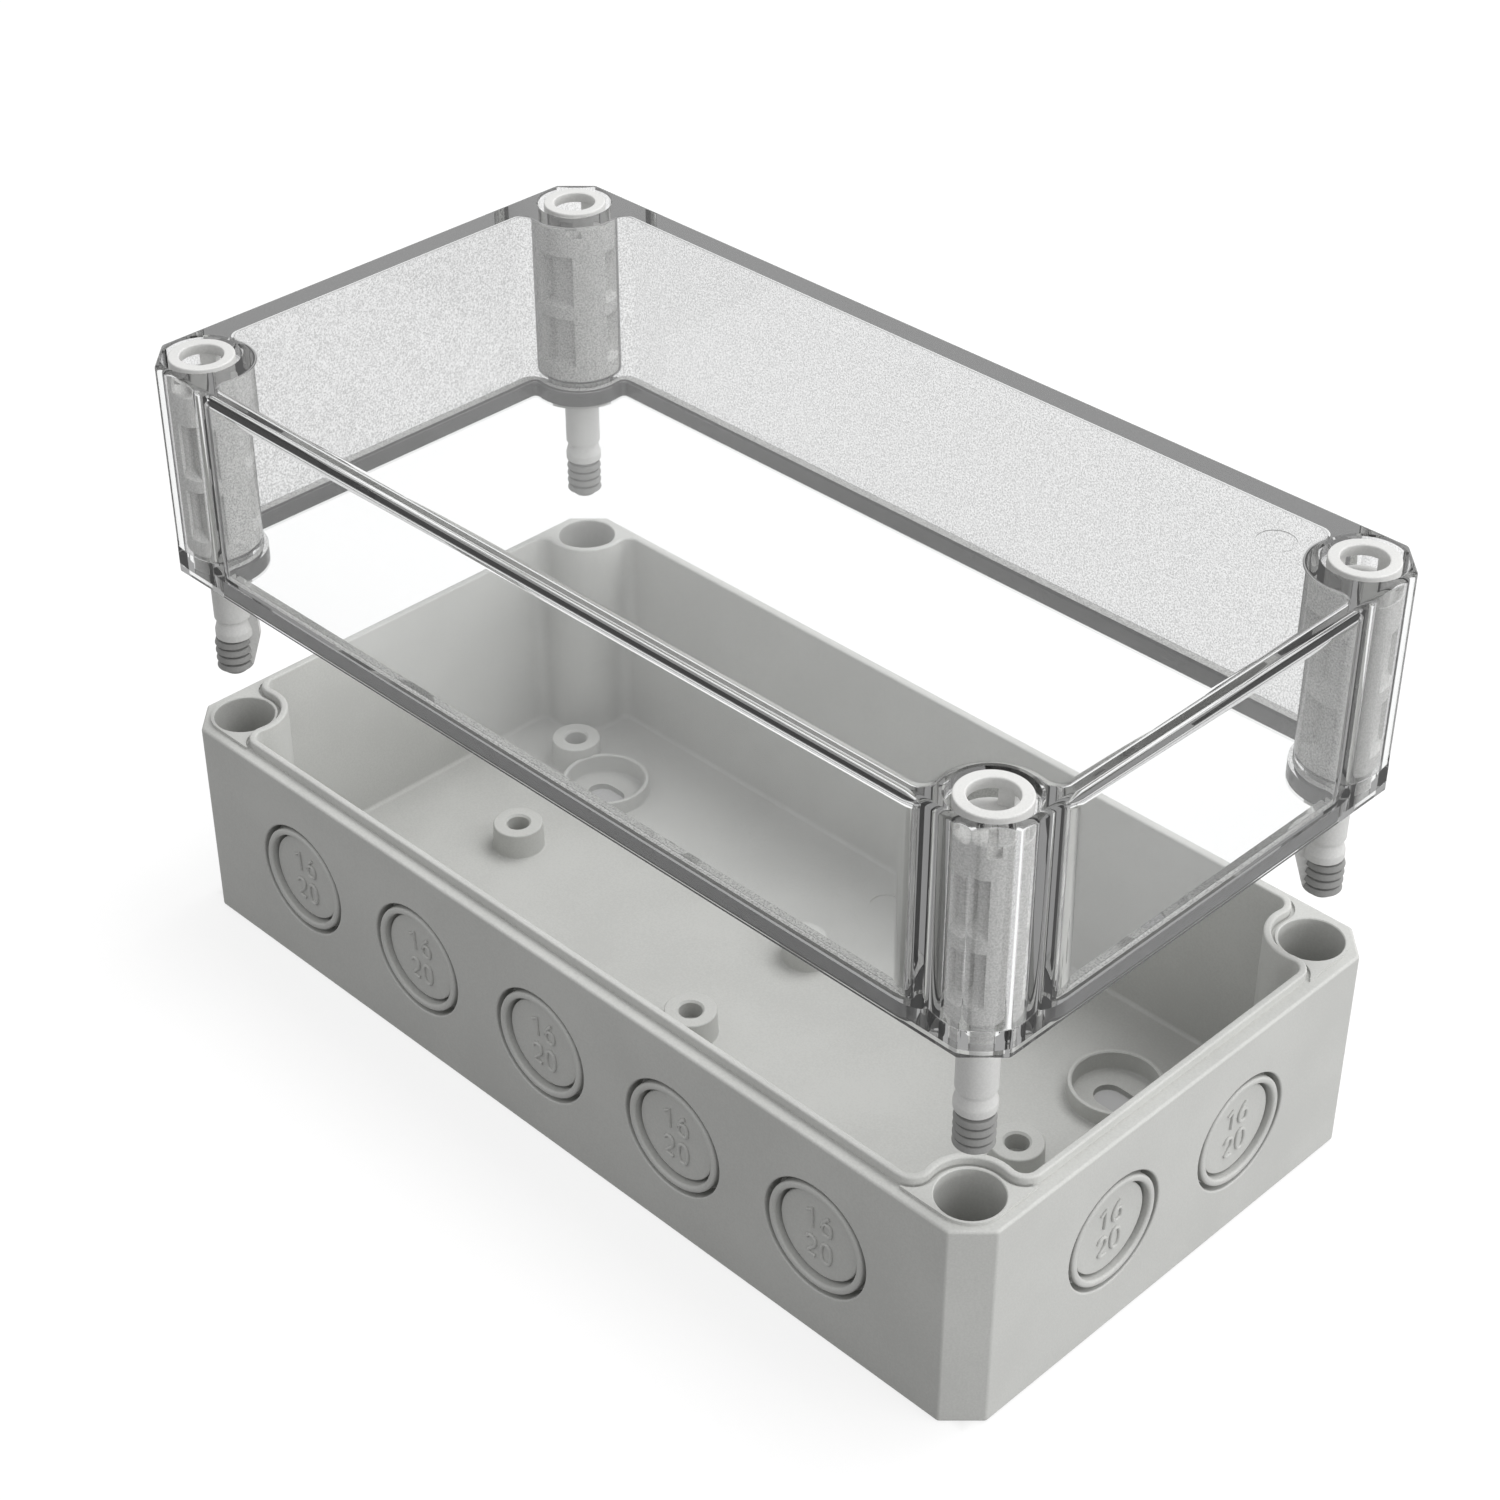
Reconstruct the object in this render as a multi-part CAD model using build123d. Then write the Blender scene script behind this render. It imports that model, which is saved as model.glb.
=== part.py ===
from build123d import *
import math
import os

# A moulded polycarbonate enclosure with its clear lid lifted off, in millimetres.
# X runs along the long side, Y across it and Z up. The origin is on the surface that
# the base stands on, below the middle of the base. The long side at -Y is called the
# front and the short side at +X the right.
os.makedirs("parts", exist_ok=True)

# Outer form
LENGTH = 180.0
WIDTH = 94.0
CORNER_CUT = 5.0
RIM_Z = 38.0
LID_HEIGHT = 37.86
LID_LIFT = 31.55
LID_SEAT_GAP = 0.05
BASE_EDGE_ROUND = 0.5
LID_TOP_ROUND = 0.8
LID_FOOT_ROUND = 0.3

# Walls of the base. The cavity runs round each screw well on an arc, and a small arc
# joins that to the straight wall.
BASE_WALL = 3.5
BASE_FLOOR = 2.0
CAVITY_WELL_R = 7.45
CAVITY_CORNER_R = 2.0

# Sealing rim: a tongue round the cavity, and a raised pad round each well
TONGUE_THICKNESS = 1.2
TONGUE_HEIGHT = 1.6
TONGUE_CHAMFER = 0.3
PAD_INSET = 1.7
PAD_HEIGHT = 0.5
PAD_GROOVE = 0.6
PAD_REACH = 8.0

# Screw wells, in both directions the same distance from the outer faces
WELL_INSET = 7.4
WELL_R = 5.15
WELL_LOWER_R = 4.7
WELL_UPPER_DEPTH = 14.0
WELL_DEPTH = 24.5

# Wall-fixing cups in the floor, each with a slot through it. The insets here and below
# are from the outer end face and from the outer long face.
CUP_INSET_X = 30.0
CUP_INSET_Y = 23.2
CUP_OUTER_R = 8.0
CUP_INNER_R = 7.25
CUP_RIM_Z = 5.0
CUP_FLOOR_Z = 1.2
FIXING_SLOT_LENGTH = 7.6
FIXING_SLOT_WIDTH = 5.3

# Bosses for a board or a rail
BOSS_TOP_Z = 7.0
BOSS_TOP_R = 4.45
BOSS_FOOT_R = 4.65
BOSS_HOLE_R = 2.02
BOSS_LEDGE_Z = 3.6
BOSS_LOWER_HOLE_R = 1.45
BOSS_HOLE_FLOOR_Z = 1.0
END_BOSS_INSET = 30.8
MIDDLE_BOSS_INSET = 32.9
CORNER_BOSS_INSET_X = 18.5
CORNER_BOSS_INSET_Y = 20.0

# Shallow round marks left by the mould's pins
PIN_MARK_R = 3.0
PIN_MARK_DEPTH = 0.15
FLOOR_MARK_INSET = 11.4
LID_MARK_INSET_X = 20.0
LID_MARK_INSET_Y = 11.0

# Cable entries: an outer ring for the large gland and a disc for the small one. Each
# stands on a thin web that tears when the piece is knocked out. The insets are from each
# end of a wall to the nearest entry, and the rest are spaced evenly between.
ENTRY_COUNTS = {"front": 5, "right": 2, "back": 5, "left": 2}
ENTRY_Z = 19.2
LONG_WALL_INSET = 30.0
SHORT_WALL_INSET = 32.0
LARGE_ENTRY_R = 10.2
SMALL_ENTRY_R = 8.25
RING_FACE_R = 9.45
DISC_FACE_R = 7.75
DISC_RECESS = 1.0
WEB_THICKNESS = 0.5

# Lid, with heights above its own lower edge
LID_WALL = 2.8
LID_TOP_THICKNESS = 3.0
LID_TOWER_R = 8.0
LID_TOWER_CORNER_R = 2.5
LID_BORE_R = 6.3
SEAL_GROOVE_OUT = 1.5
SEAL_GROOVE_IN = 0.25
SEAL_GROOVE_Z = 2.9
INNER_LIP_THICKNESS = 1.0
INNER_LIP_Z = 4.2
TOWER_FLOOR_Z = 4.0
PAD_CLEARANCE_Z = 0.7
PAD_CLEARANCE_SIDE = 0.3
SHANK_HOLE_R = 3.4

# Seal, a soft strip in the lid's groove
SEAL_SIDE_GAP = 0.05
SEAL_LOWER_Z = 0.3

# Lid screws, with heights above the lid's lower edge. Each has the signs of its corner
# in X and Y, and the direction in degrees that its drive slot points in.
SCREW_TURNS = {
    "front_left": (-1, -1, -135.0),
    "front_right": (1, -1, -45.0),
    "back_right": (1, 1, 45.0),
    "back_left": (-1, 1, -45.0),
}
HEAD_RING_R = 5.3
HEAD_RING_HOLE_R = 3.5
HEAD_RING_HEIGHT = 1.8
HEAD_GAP = 2.56
SLEEVE_R = 5.25
SLEEVE_SEAT_GAP = 0.05
SHANK_R = 3.05
SHANK_ROOT_Z = 5.0
SECTORS = 3
RIB_ANGLE = 57.0
FIRST_RIB_ANGLE = 25.0
PILLAR_ANGLE = 40.0
WINDOW_ROWS = 2
WINDOW_BAND = 2.2
WINDOW_FOOT_BAND = 3.0
WINDOW_HEAD_BAND = 5.3
WINDOW_SLOPE = 1.2
WINDOW_OVERCUT = 1.0
DRIVE_SLOT_WIDTH = 2.3
DRIVE_SLOT_DEPTH = 1.0
NECK_R = 2.7
NECK_TOP_Z = -10.7
NECK_BOTTOM_Z = -11.6
BAND_R = 3.15
BAND_TOP_Z = -11.9
BAND_BOTTOM_Z = -14.6
RIDGES = 4
RIDGE_PITCH = 1.22
RIDGE_ROOT_R = 2.6
RIDGE_CREST_R = 3.0
TIP_R = 2.75
TIP_ROUND = 1.2
TIP_Z = -21.6
FIN_ANGLE = 180.0
FIN_THICKNESS = 1.3
FIN_TOP_Z = -7.6
FIN_SHOULDER_Z = -8.8
FIN_SHOULDER_R = 4.05
FIN_WIDEST_R = 4.35
FIN_END_Z = -20.2

# Worked out from the sizes above
WELL_X = LENGTH / 2 - WELL_INSET
WELL_Y = WIDTH / 2 - WELL_INSET
WELL_STEP_Z = RIM_Z - WELL_UPPER_DEPTH
WELL_FLOOR_Z = RIM_Z - WELL_DEPTH
LID_REST_Z = RIM_Z + LID_SEAT_GAP + LID_LIFT
LID_CEILING = LID_HEIGHT - LID_TOP_THICKNESS
HEAD_RING_Z = LID_HEIGHT - HEAD_RING_HEIGHT
HEAD_FLOOR_Z = HEAD_RING_Z - HEAD_GAP
CORNERS = [(1, 1), (-1, 1), (-1, -1), (1, -1)]


def outline():
    """The plan of the base and the lid: a rectangle with its corners cut off."""
    plan = Rectangle(LENGTH, WIDTH)
    return chamfer(plan.vertices(), CORNER_CUT)


def arc_about(centre, start, end):
    """The shorter arc about a centre, from one point to the other."""
    radius = (start - centre).length
    towards = ((start - centre) + (end - centre)).normalized()
    return ThreePointArc(start, centre + towards * radius, end)


def bay(wall, well_r, corner_r):
    """The plan inside walls of one thickness, passing each screw well on an arc."""
    half_x = LENGTH / 2 - wall
    half_y = WIDTH / 2 - wall
    reach = well_r + corner_r
    side_x = WELL_X - math.sqrt(reach**2 - (half_y - corner_r - WELL_Y) ** 2)
    side_y = WELL_Y - math.sqrt(reach**2 - (half_x - corner_r - WELL_X) ** 2)
    edges = []
    for sx, sy in CORNERS:
        well = Vector(sx * WELL_X, sy * WELL_Y)
        long_centre = Vector(sx * side_x, sy * (half_y - corner_r))
        short_centre = Vector(sx * (half_x - corner_r), sy * side_y)
        long_meet = well + (long_centre - well) * (well_r / reach)
        short_meet = well + (short_centre - well) * (well_r / reach)
        edges.append(arc_about(long_centre, Vector(sx * side_x, sy * half_y), long_meet))
        edges.append(arc_about(well, long_meet, short_meet))
        edges.append(arc_about(short_centre, short_meet, Vector(sx * half_x, sy * side_y)))
    for side in (-1, 1):
        edges.append(Line((-side_x, side * half_y), (side_x, side * half_y)))
        edges.append(Line((side * half_x, -side_y), (side * half_x, side_y)))
    return make_face(edges)


def rim_line(inward):
    """The base cavity's plan, moved inwards by a distance, or outwards if negative."""
    return bay(BASE_WALL + inward, CAVITY_WELL_R + inward, CAVITY_CORNER_R - inward)


def prism(plan, low, high):
    """A plan extruded between two heights."""
    return extrude(Pos(0, 0, low) * plan, high - low)


def rod(radius, low, high):
    """An upright cylinder on the Z axis between two heights."""
    return Pos(0, 0, low) * Cylinder(radius, high - low, align=(Align.CENTER, Align.CENTER, Align.MIN))


def corner_places(inset_x, inset_y):
    """Four plan places, one near each corner, at these insets from the outer faces."""
    x = LENGTH / 2 - inset_x
    y = WIDTH / 2 - inset_y
    return [Pos(sx * x, sy * y) for sx, sy in CORNERS]


def corner_zone(inset, reach):
    """The plan round the four wells, with corners rounded about the screw axes."""
    rounded = RectangleRounded(LENGTH - 2 * inset, WIDTH - 2 * inset, WELL_INSET - inset)
    size = WELL_INSET + reach
    zone = None
    for sx, sy in CORNERS:
        square = Pos(sx * (LENGTH - size) / 2, sy * (WIDTH - size) / 2) * Rectangle(size, size)
        part = rounded & square
        zone = part if zone is None else zone + part
    return zone


def entry_planes():
    """The name and the plane of each cable entry, on the outer face and facing out."""
    long_reach = LENGTH / 2 - LONG_WALL_INSET
    short_reach = WIDTH / 2 - SHORT_WALL_INSET
    sides = [
        ("front", long_reach, (0, -WIDTH / 2), (1, 0, 0), (0, -1, 0)),
        ("right", short_reach, (LENGTH / 2, 0), (0, 1, 0), (1, 0, 0)),
        ("back", long_reach, (0, WIDTH / 2), (-1, 0, 0), (0, 1, 0)),
        ("left", short_reach, (-LENGTH / 2, 0), (0, -1, 0), (-1, 0, 0)),
    ]
    planes = []
    for side, reach, middle, along, outward in sides:
        steps = ENTRY_COUNTS[side] - 1
        for i in range(steps + 1):
            origin = Vector(middle[0], middle[1], ENTRY_Z) + Vector(*along) * reach * (2 * i / steps - 1)
            planes.append((f"{side}_{i + 1}", Plane(origin=origin, x_dir=along, z_dir=outward)))
    return planes


def tongue():
    """The sealing tongue on the rim, bevelled along both edges of its top."""
    ring = prism(rim_line(-TONGUE_THICKNESS) - rim_line(0), RIM_Z, RIM_Z + TONGUE_HEIGHT)
    return chamfer(ring.edges().group_by(Axis.Z)[-1], TONGUE_CHAMFER)


def well_pads():
    """The raised pads round the wells, with a narrow groove left beside the tongue."""
    plan = corner_zone(PAD_INSET, PAD_REACH) - rim_line(-TONGUE_THICKNESS - PAD_GROOVE)
    return prism(plan, RIM_Z, RIM_Z + PAD_HEIGHT)


def boss_places():
    """The plan places of the bosses on the floor."""
    places = corner_places(CORNER_BOSS_INSET_X, CORNER_BOSS_INSET_Y)
    for side in (-1, 1):
        places.append(Pos(side * (LENGTH / 2 - END_BOSS_INSET), 0))
        places.append(Pos(0, side * (WIDTH / 2 - MIDDLE_BOSS_INSET)))
    return places


def boss():
    """One tapered boss, solid, from inside the floor to its top."""
    height = BOSS_TOP_Z - CUP_FLOOR_Z
    cone = Cone(BOSS_FOOT_R, BOSS_TOP_R, height, align=(Align.CENTER, Align.CENTER, Align.MIN))
    return Pos(0, 0, CUP_FLOOR_Z) * cone


def boss_hole():
    """The stepped blind hole of one boss."""
    upper = rod(BOSS_HOLE_R, BOSS_LEDGE_Z, BOSS_TOP_Z)
    return upper + rod(BOSS_LOWER_HOLE_R, BOSS_HOLE_FLOOR_Z, BOSS_LEDGE_Z)


def base_shell():
    """The base: floor, walls, sealing rim, screw wells, bosses and wall-fixing cups."""
    body = prism(outline(), 0, RIM_Z)
    ends = body.edges().group_by(Axis.Z)
    body = fillet(ends[0] + ends[-1], BASE_EDGE_ROUND)
    body -= prism(rim_line(0), BASE_FLOOR, RIM_Z)
    body += tongue()
    body += well_pads()
    for place in corner_places(WELL_INSET, WELL_INSET):
        body -= place * rod(WELL_R, WELL_STEP_Z, RIM_Z + PAD_HEIGHT)
        body -= place * rod(WELL_LOWER_R, WELL_FLOOR_Z, WELL_STEP_Z)
    cups = corner_places(CUP_INSET_X, CUP_INSET_Y)
    for place in cups:
        body += place * rod(CUP_OUTER_R, CUP_FLOOR_Z, CUP_RIM_Z)
    for place in boss_places():
        body += place * boss()
    for place in cups:
        body -= place * rod(CUP_INNER_R, CUP_FLOOR_Z, CUP_RIM_Z)
        body -= place * prism(SlotOverall(FIXING_SLOT_LENGTH, FIXING_SLOT_WIDTH), 0, CUP_FLOOR_Z)
    for place in boss_places():
        body -= place * boss_hole()
    for side in (-1, 1):
        mark = rod(PIN_MARK_R, BASE_FLOOR - PIN_MARK_DEPTH, BASE_FLOOR)
        body -= Pos(0, side * (WIDTH / 2 - FLOOR_MARK_INSET)) * mark
    for _, plane in entry_planes():
        body -= plane * rod(LARGE_ENTRY_R, -BASE_WALL, 0)
    return body


def entry_ring():
    """The knock-out ring between the small and the large entry, on its torn-off web."""
    ring = rod(RING_FACE_R, -BASE_WALL, 0)
    ring += rod(LARGE_ENTRY_R, -BASE_WALL, WEB_THICKNESS - BASE_WALL)
    return ring - rod(SMALL_ENTRY_R, -BASE_WALL, 0)


def entry_disc():
    """The knock-out disc of the small entry, set back from the outer face."""
    disc = rod(DISC_FACE_R, -BASE_WALL, -DISC_RECESS)
    return disc + rod(SMALL_ENTRY_R, -BASE_WALL, WEB_THICKNESS - BASE_WALL)


def lid_shell():
    """The clear lid, standing on z = 0."""
    body = prism(outline(), 0, LID_HEIGHT)
    ends = body.edges().group_by(Axis.Z)
    body = fillet(ends[-1], LID_TOP_ROUND)
    body = fillet(body.edges().group_by(Axis.Z)[0], LID_FOOT_ROUND)
    body -= prism(bay(LID_WALL, LID_TOWER_R, LID_TOWER_CORNER_R), INNER_LIP_Z, LID_CEILING)
    body -= prism(rim_line(SEAL_GROOVE_IN + INNER_LIP_THICKNESS), 0, INNER_LIP_Z)
    body -= prism(rim_line(-SEAL_GROOVE_OUT) - rim_line(SEAL_GROOVE_IN), 0, SEAL_GROOVE_Z)
    zone = corner_zone(PAD_INSET - PAD_CLEARANCE_SIDE, PAD_REACH + PAD_CLEARANCE_SIDE)
    body -= prism(zone - rim_line(0), 0, PAD_CLEARANCE_Z)
    for place in corner_places(WELL_INSET, WELL_INSET):
        body -= place * rod(LID_BORE_R, TOWER_FLOOR_Z, LID_HEIGHT)
        body -= place * rod(SHANK_HOLE_R, 0, TOWER_FLOOR_Z)
    for place in corner_places(LID_MARK_INSET_X, LID_MARK_INSET_Y):
        body -= place * rod(PIN_MARK_R, LID_CEILING, LID_CEILING + PIN_MARK_DEPTH)
    return body


def seal():
    """The soft strip in the lid's groove, with its top against the groove's ceiling."""
    outer = rim_line(SEAL_SIDE_GAP - SEAL_GROOVE_OUT)
    inner = rim_line(SEAL_GROOVE_IN - SEAL_SIDE_GAP)
    return prism(outer - inner, SEAL_LOWER_Z, SEAL_GROOVE_Z)


def sector(profile, middle, angle):
    """A profile in the XZ plane turned through an angle, about a middle direction."""
    return Rot(0, 0, middle - angle / 2) * revolve(profile, Axis.Z, angle)


def rz_face(points):
    """A flat face in the XZ plane from points given as radius and height."""
    return make_face(Polyline(*[(r, 0, z) for r, z in points], close=True))


def screw_windows():
    """The pockets in the sleeve, each with a floor that slopes outwards."""
    pockets = []
    outside = SLEEVE_R + WINDOW_OVERCUT
    drop = WINDOW_SLOPE * (outside - SHANK_R) / (SLEEVE_R - SHANK_R)
    lowest = TOWER_FLOOR_Z + WINDOW_FOOT_BAND
    highest = HEAD_FLOOR_Z - WINDOW_HEAD_BAND
    height = (highest - lowest - (WINDOW_ROWS - 1) * WINDOW_BAND) / WINDOW_ROWS
    for row in range(WINDOW_ROWS):
        low = lowest + row * (height + WINDOW_BAND)
        high = low + height
        inner_low = low + WINDOW_SLOPE
        points = [(SHANK_R, inner_low), (outside, inner_low - drop), (outside, high), (SHANK_R, high)]
        for i in range(SECTORS):
            middle = FIRST_RIB_ANGLE + 180.0 / SECTORS + i * 360.0 / SECTORS
            pockets.append(sector(rz_face(points), middle, 360.0 / SECTORS - RIB_ANGLE))
    return pockets


def shank_profile():
    """Half of the shank's outline, from the sleeve's foot down to the tip."""
    points = [(0, SHANK_ROOT_Z), (SHANK_R, SHANK_ROOT_Z)]
    points += [(SHANK_R, NECK_TOP_Z), (NECK_R, NECK_TOP_Z), (NECK_R, NECK_BOTTOM_Z)]
    points += [(BAND_R, BAND_TOP_Z), (BAND_R, BAND_BOTTOM_Z)]
    for i in range(RIDGES):
        top = BAND_BOTTOM_Z - i * RIDGE_PITCH
        points += [(RIDGE_ROOT_R, top), (RIDGE_CREST_R, top - RIDGE_PITCH)]
    foot = BAND_BOTTOM_Z - RIDGES * RIDGE_PITCH
    points += [(TIP_R, foot), (TIP_R, TIP_Z + TIP_ROUND), (TIP_R - TIP_ROUND, TIP_Z), (0, TIP_Z)]
    return rz_face(points)


def fin():
    """The thin fin beside the tip, pointing along X before it is turned."""
    points = [(0, FIN_TOP_Z), (SHANK_R, FIN_TOP_Z), (FIN_SHOULDER_R, FIN_SHOULDER_Z)]
    points += [(FIN_WIDEST_R, BAND_BOTTOM_Z), (TIP_R, FIN_END_Z), (0, FIN_END_Z)]
    plate = extrude(rz_face(points), FIN_THICKNESS / 2, both=True)
    return Rot(0, 0, FIN_ANGLE) * plate


def lid_screw():
    """One captive quarter-turn screw about the Z axis, its drive slot along X."""
    seat = TOWER_FLOOR_Z + SLEEVE_SEAT_GAP
    body = rod(SLEEVE_R, seat, HEAD_FLOOR_Z)
    body += revolve(shank_profile(), Axis.Z)
    body += fin()
    for pocket in screw_windows():
        body -= pocket
    slot_sides = (Align.MIN, Align.CENTER, Align.MAX)
    slot = Box(HEAD_RING_R, DRIVE_SLOT_WIDTH, DRIVE_SLOT_DEPTH, align=slot_sides)
    body -= Pos(0, 0, HEAD_FLOOR_Z) * slot
    body += rod(HEAD_RING_R, HEAD_RING_Z, LID_HEIGHT) - rod(HEAD_RING_HOLE_R, HEAD_RING_Z, LID_HEIGHT)
    corners = [(HEAD_RING_HOLE_R, HEAD_FLOOR_Z), (SLEEVE_R, HEAD_FLOOR_Z)]
    corners += [(SLEEVE_R, HEAD_RING_Z), (HEAD_RING_HOLE_R, HEAD_RING_Z)]
    for i in range(SECTORS):
        body += sector(rz_face(corners), FIRST_RIB_ANGLE + i * 360.0 / SECTORS, PILLAR_ANGLE)
    return body


def save(shape, name):
    """Write one piece to its own file, and say so if it isn't a single valid solid."""
    solids = shape.solids()
    if len(solids) != 1 or not shape.is_valid:
        print("check", name, "solids", len(solids), "valid", shape.is_valid)
    export_step(solids[0], f"parts/{name}.step")


def main():
    raised = Pos(0, 0, LID_REST_Z)
    save(base_shell(), "base_shell")
    save(raised * lid_shell(), "lid_shell")
    save(raised * seal(), "lid_seal")
    screw = lid_screw()
    for name, (sx, sy, turn) in SCREW_TURNS.items():
        save(raised * Pos(sx * WELL_X, sy * WELL_Y) * Rot(0, 0, turn) * screw, f"lid_screw_{name}")
    ring = entry_ring()
    disc = entry_disc()
    for name, plane in entry_planes():
        save(plane * ring, f"entry_ring_{name}")
        save(plane * disc, f"entry_disc_{name}")


main()
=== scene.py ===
from math import atan2, copysign, cos, pi, radians, sin, sqrt, tan
from types import SimpleNamespace

import bmesh
import bpy
from bpy.props import FloatProperty, FloatVectorProperty, IntProperty, PointerProperty
from mathutils import Matrix, Vector


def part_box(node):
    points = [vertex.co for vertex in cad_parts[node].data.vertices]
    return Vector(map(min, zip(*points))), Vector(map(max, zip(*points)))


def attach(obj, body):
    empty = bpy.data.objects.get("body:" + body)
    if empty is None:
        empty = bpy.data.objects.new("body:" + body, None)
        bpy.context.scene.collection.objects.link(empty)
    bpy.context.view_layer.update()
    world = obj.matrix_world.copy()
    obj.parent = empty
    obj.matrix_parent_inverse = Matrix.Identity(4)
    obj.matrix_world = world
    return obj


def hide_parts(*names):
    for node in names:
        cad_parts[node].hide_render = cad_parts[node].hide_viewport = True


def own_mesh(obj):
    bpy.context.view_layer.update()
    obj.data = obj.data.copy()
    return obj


bl_info = {
    "name": "Clear-lidded enclosure",
    "version": (1, 0, 0),
    "blender": (4, 5, 0),
    "location": "3D View > Sidebar > Enclosure",
    "description": "Builds a moulded enclosure with its clear lid lifted off, and a studio",
    "category": "Object",
}

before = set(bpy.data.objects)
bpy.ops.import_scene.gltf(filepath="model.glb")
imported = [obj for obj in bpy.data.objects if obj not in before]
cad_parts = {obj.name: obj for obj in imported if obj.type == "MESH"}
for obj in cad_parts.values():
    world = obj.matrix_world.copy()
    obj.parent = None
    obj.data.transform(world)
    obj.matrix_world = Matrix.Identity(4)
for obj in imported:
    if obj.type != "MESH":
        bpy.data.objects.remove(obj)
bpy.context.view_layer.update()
BASE_LOW, BASE_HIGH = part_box("base_shell")
LID_LOW, LID_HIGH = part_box("lid_shell")
MM = 0.001
QUARTERS = ((1, 1), (-1, 1), (-1, -1), (1, -1))
THIRDS = (0, 120, 240)

# Plan places in millimetres, from the outer end face and the outer long face
CUP_INSETS = (30.0, 23.2)
BOSS_INSETS = (18.5, 20.0)
END_BOSS_INSET = 30.8
MIDDLE_BOSS_INSET = 32.9
FLOOR_MARK_INSET = 11.4
LID_MARK_INSETS = (20.0, 11.0)

# More sizes in millimetres: the rounding where the base's walls meet its floor, and the gap
# beside the lid's recesses for the pads
FLOOR_ROUND = 0.8
LID_ZONE_GAP = 0.75

# The windows of a screw's sleeve, from foot to top, with a foot that slopes down, and the
# pillars that carry its ring. Heights in millimetres, turns and angles in degrees.
SLEEVE_WINDOWS = ((6.95, 16.2), (18.45, 28.15))
WINDOW_DROP = 1.2
WINDOW_TURN, WINDOW_ANGLE = 85.0, 63.0
PILLAR_TURN, PILLAR_ANGLE = 25.0, 40.0

# Each screw's corner, and its turn in degrees from a drive slot along X
SCREW_TURNS = {
    "front_left": (-1, -1, -135), "front_right": (1, -1, -45),
    "back_right": (1, 1, 45), "back_left": (-1, 1, -45),
}

# Edges sharper than this, in degrees, stay sharp
CREASE_ANGLE = 32

# How the clear plastic treats rays. Late rays, past this depth, go straight on, dimmed as
# painted shade at their first crossing and at later ones, and more if they come from inside an
# edge.
CLEAR_IOR = 1.585
LATE_DEPTH = 2.5
FIRST_DIMMING = 0.87
LATER_DIMMING = 0.5
EDGE_DIMMING = 0.5
LAMP_SHARE = 0.98

# How far a plastic's tone and roughness go up and down
TONE_SPREAD = 0.05
ROUGH_SPREAD = 0.07

# The floor's own whiteness under the case, kept low there as a painted shadow, and what is added
# beyond it, how far the floor lies below the case, and the longest ray that counts as touching it
PAINTED_SHADOW_WHITENESS = 0.18
FLOOR_WHITENESS = 0.6
FLOOR_DROP = 0.1 * MM
CONTACT_REACH = 0.4 * MM

# What the lamps face
LAMP_TARGET = (0, 0, 0.04)


# Settings


def size(label, text, mm, least=0.0):
    """A length setting, with its default given in millimetres."""
    return FloatProperty(
        name=label, description=text, default=mm * MM, min=least, precision=5,
        subtype="DISTANCE", unit="LENGTH",
    )


def number(label, text, value):
    """A setting that says how many."""
    return IntProperty(name=label, description=text, default=value, min=1)


def colour(label, text, value):
    """A colour setting."""
    return FloatVectorProperty(
        name=label, description=text, default=value, min=0.0, max=1.0, size=3, subtype="COLOR"
    )


def bearing(label, text, degrees):
    """An angle setting, with its default given in degrees."""
    return FloatProperty(
        name=label, description=text, default=radians(degrees), subtype="ANGLE", unit="ROTATION"
    )


def fraction(label, text, value):
    """A setting from none to all."""
    return FloatProperty(
        name=label, description=text, default=value, min=0.0, max=1.0, subtype="FACTOR"
    )


def wattage(label, text, value):
    """A lamp's power."""
    return FloatProperty(name=label, description=text, default=value, min=0.0, unit="POWER")


class CaseSettings(bpy.types.PropertyGroup):
    """Sizes that the base, the lid and the seal share."""

    length: size("Length", "Outside length of the case", (BASE_HIGH.x - BASE_LOW.x) / MM)
    width: size("Width", "Outside width of the case", (BASE_HIGH.y - BASE_LOW.y) / MM)
    corner_cut: size("Corner cut", "Length taken off each side at a corner", 5.0)
    upright_round: size("Upright rounding", "Rounding of the upright edges", 0.85)
    well_inset: size("Well inset", "Screw axis from each outer face", 7.4)
    wall: size("Base wall", "Wall thickness of the base", 3.5)
    rim_well_r: size("Rim round wells", "Radius of the cavity's edge round each screw axis", 7.45)
    rim_corner_r: size("Rim corners", "Radius where that edge meets the straight wall", 2.0)


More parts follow.
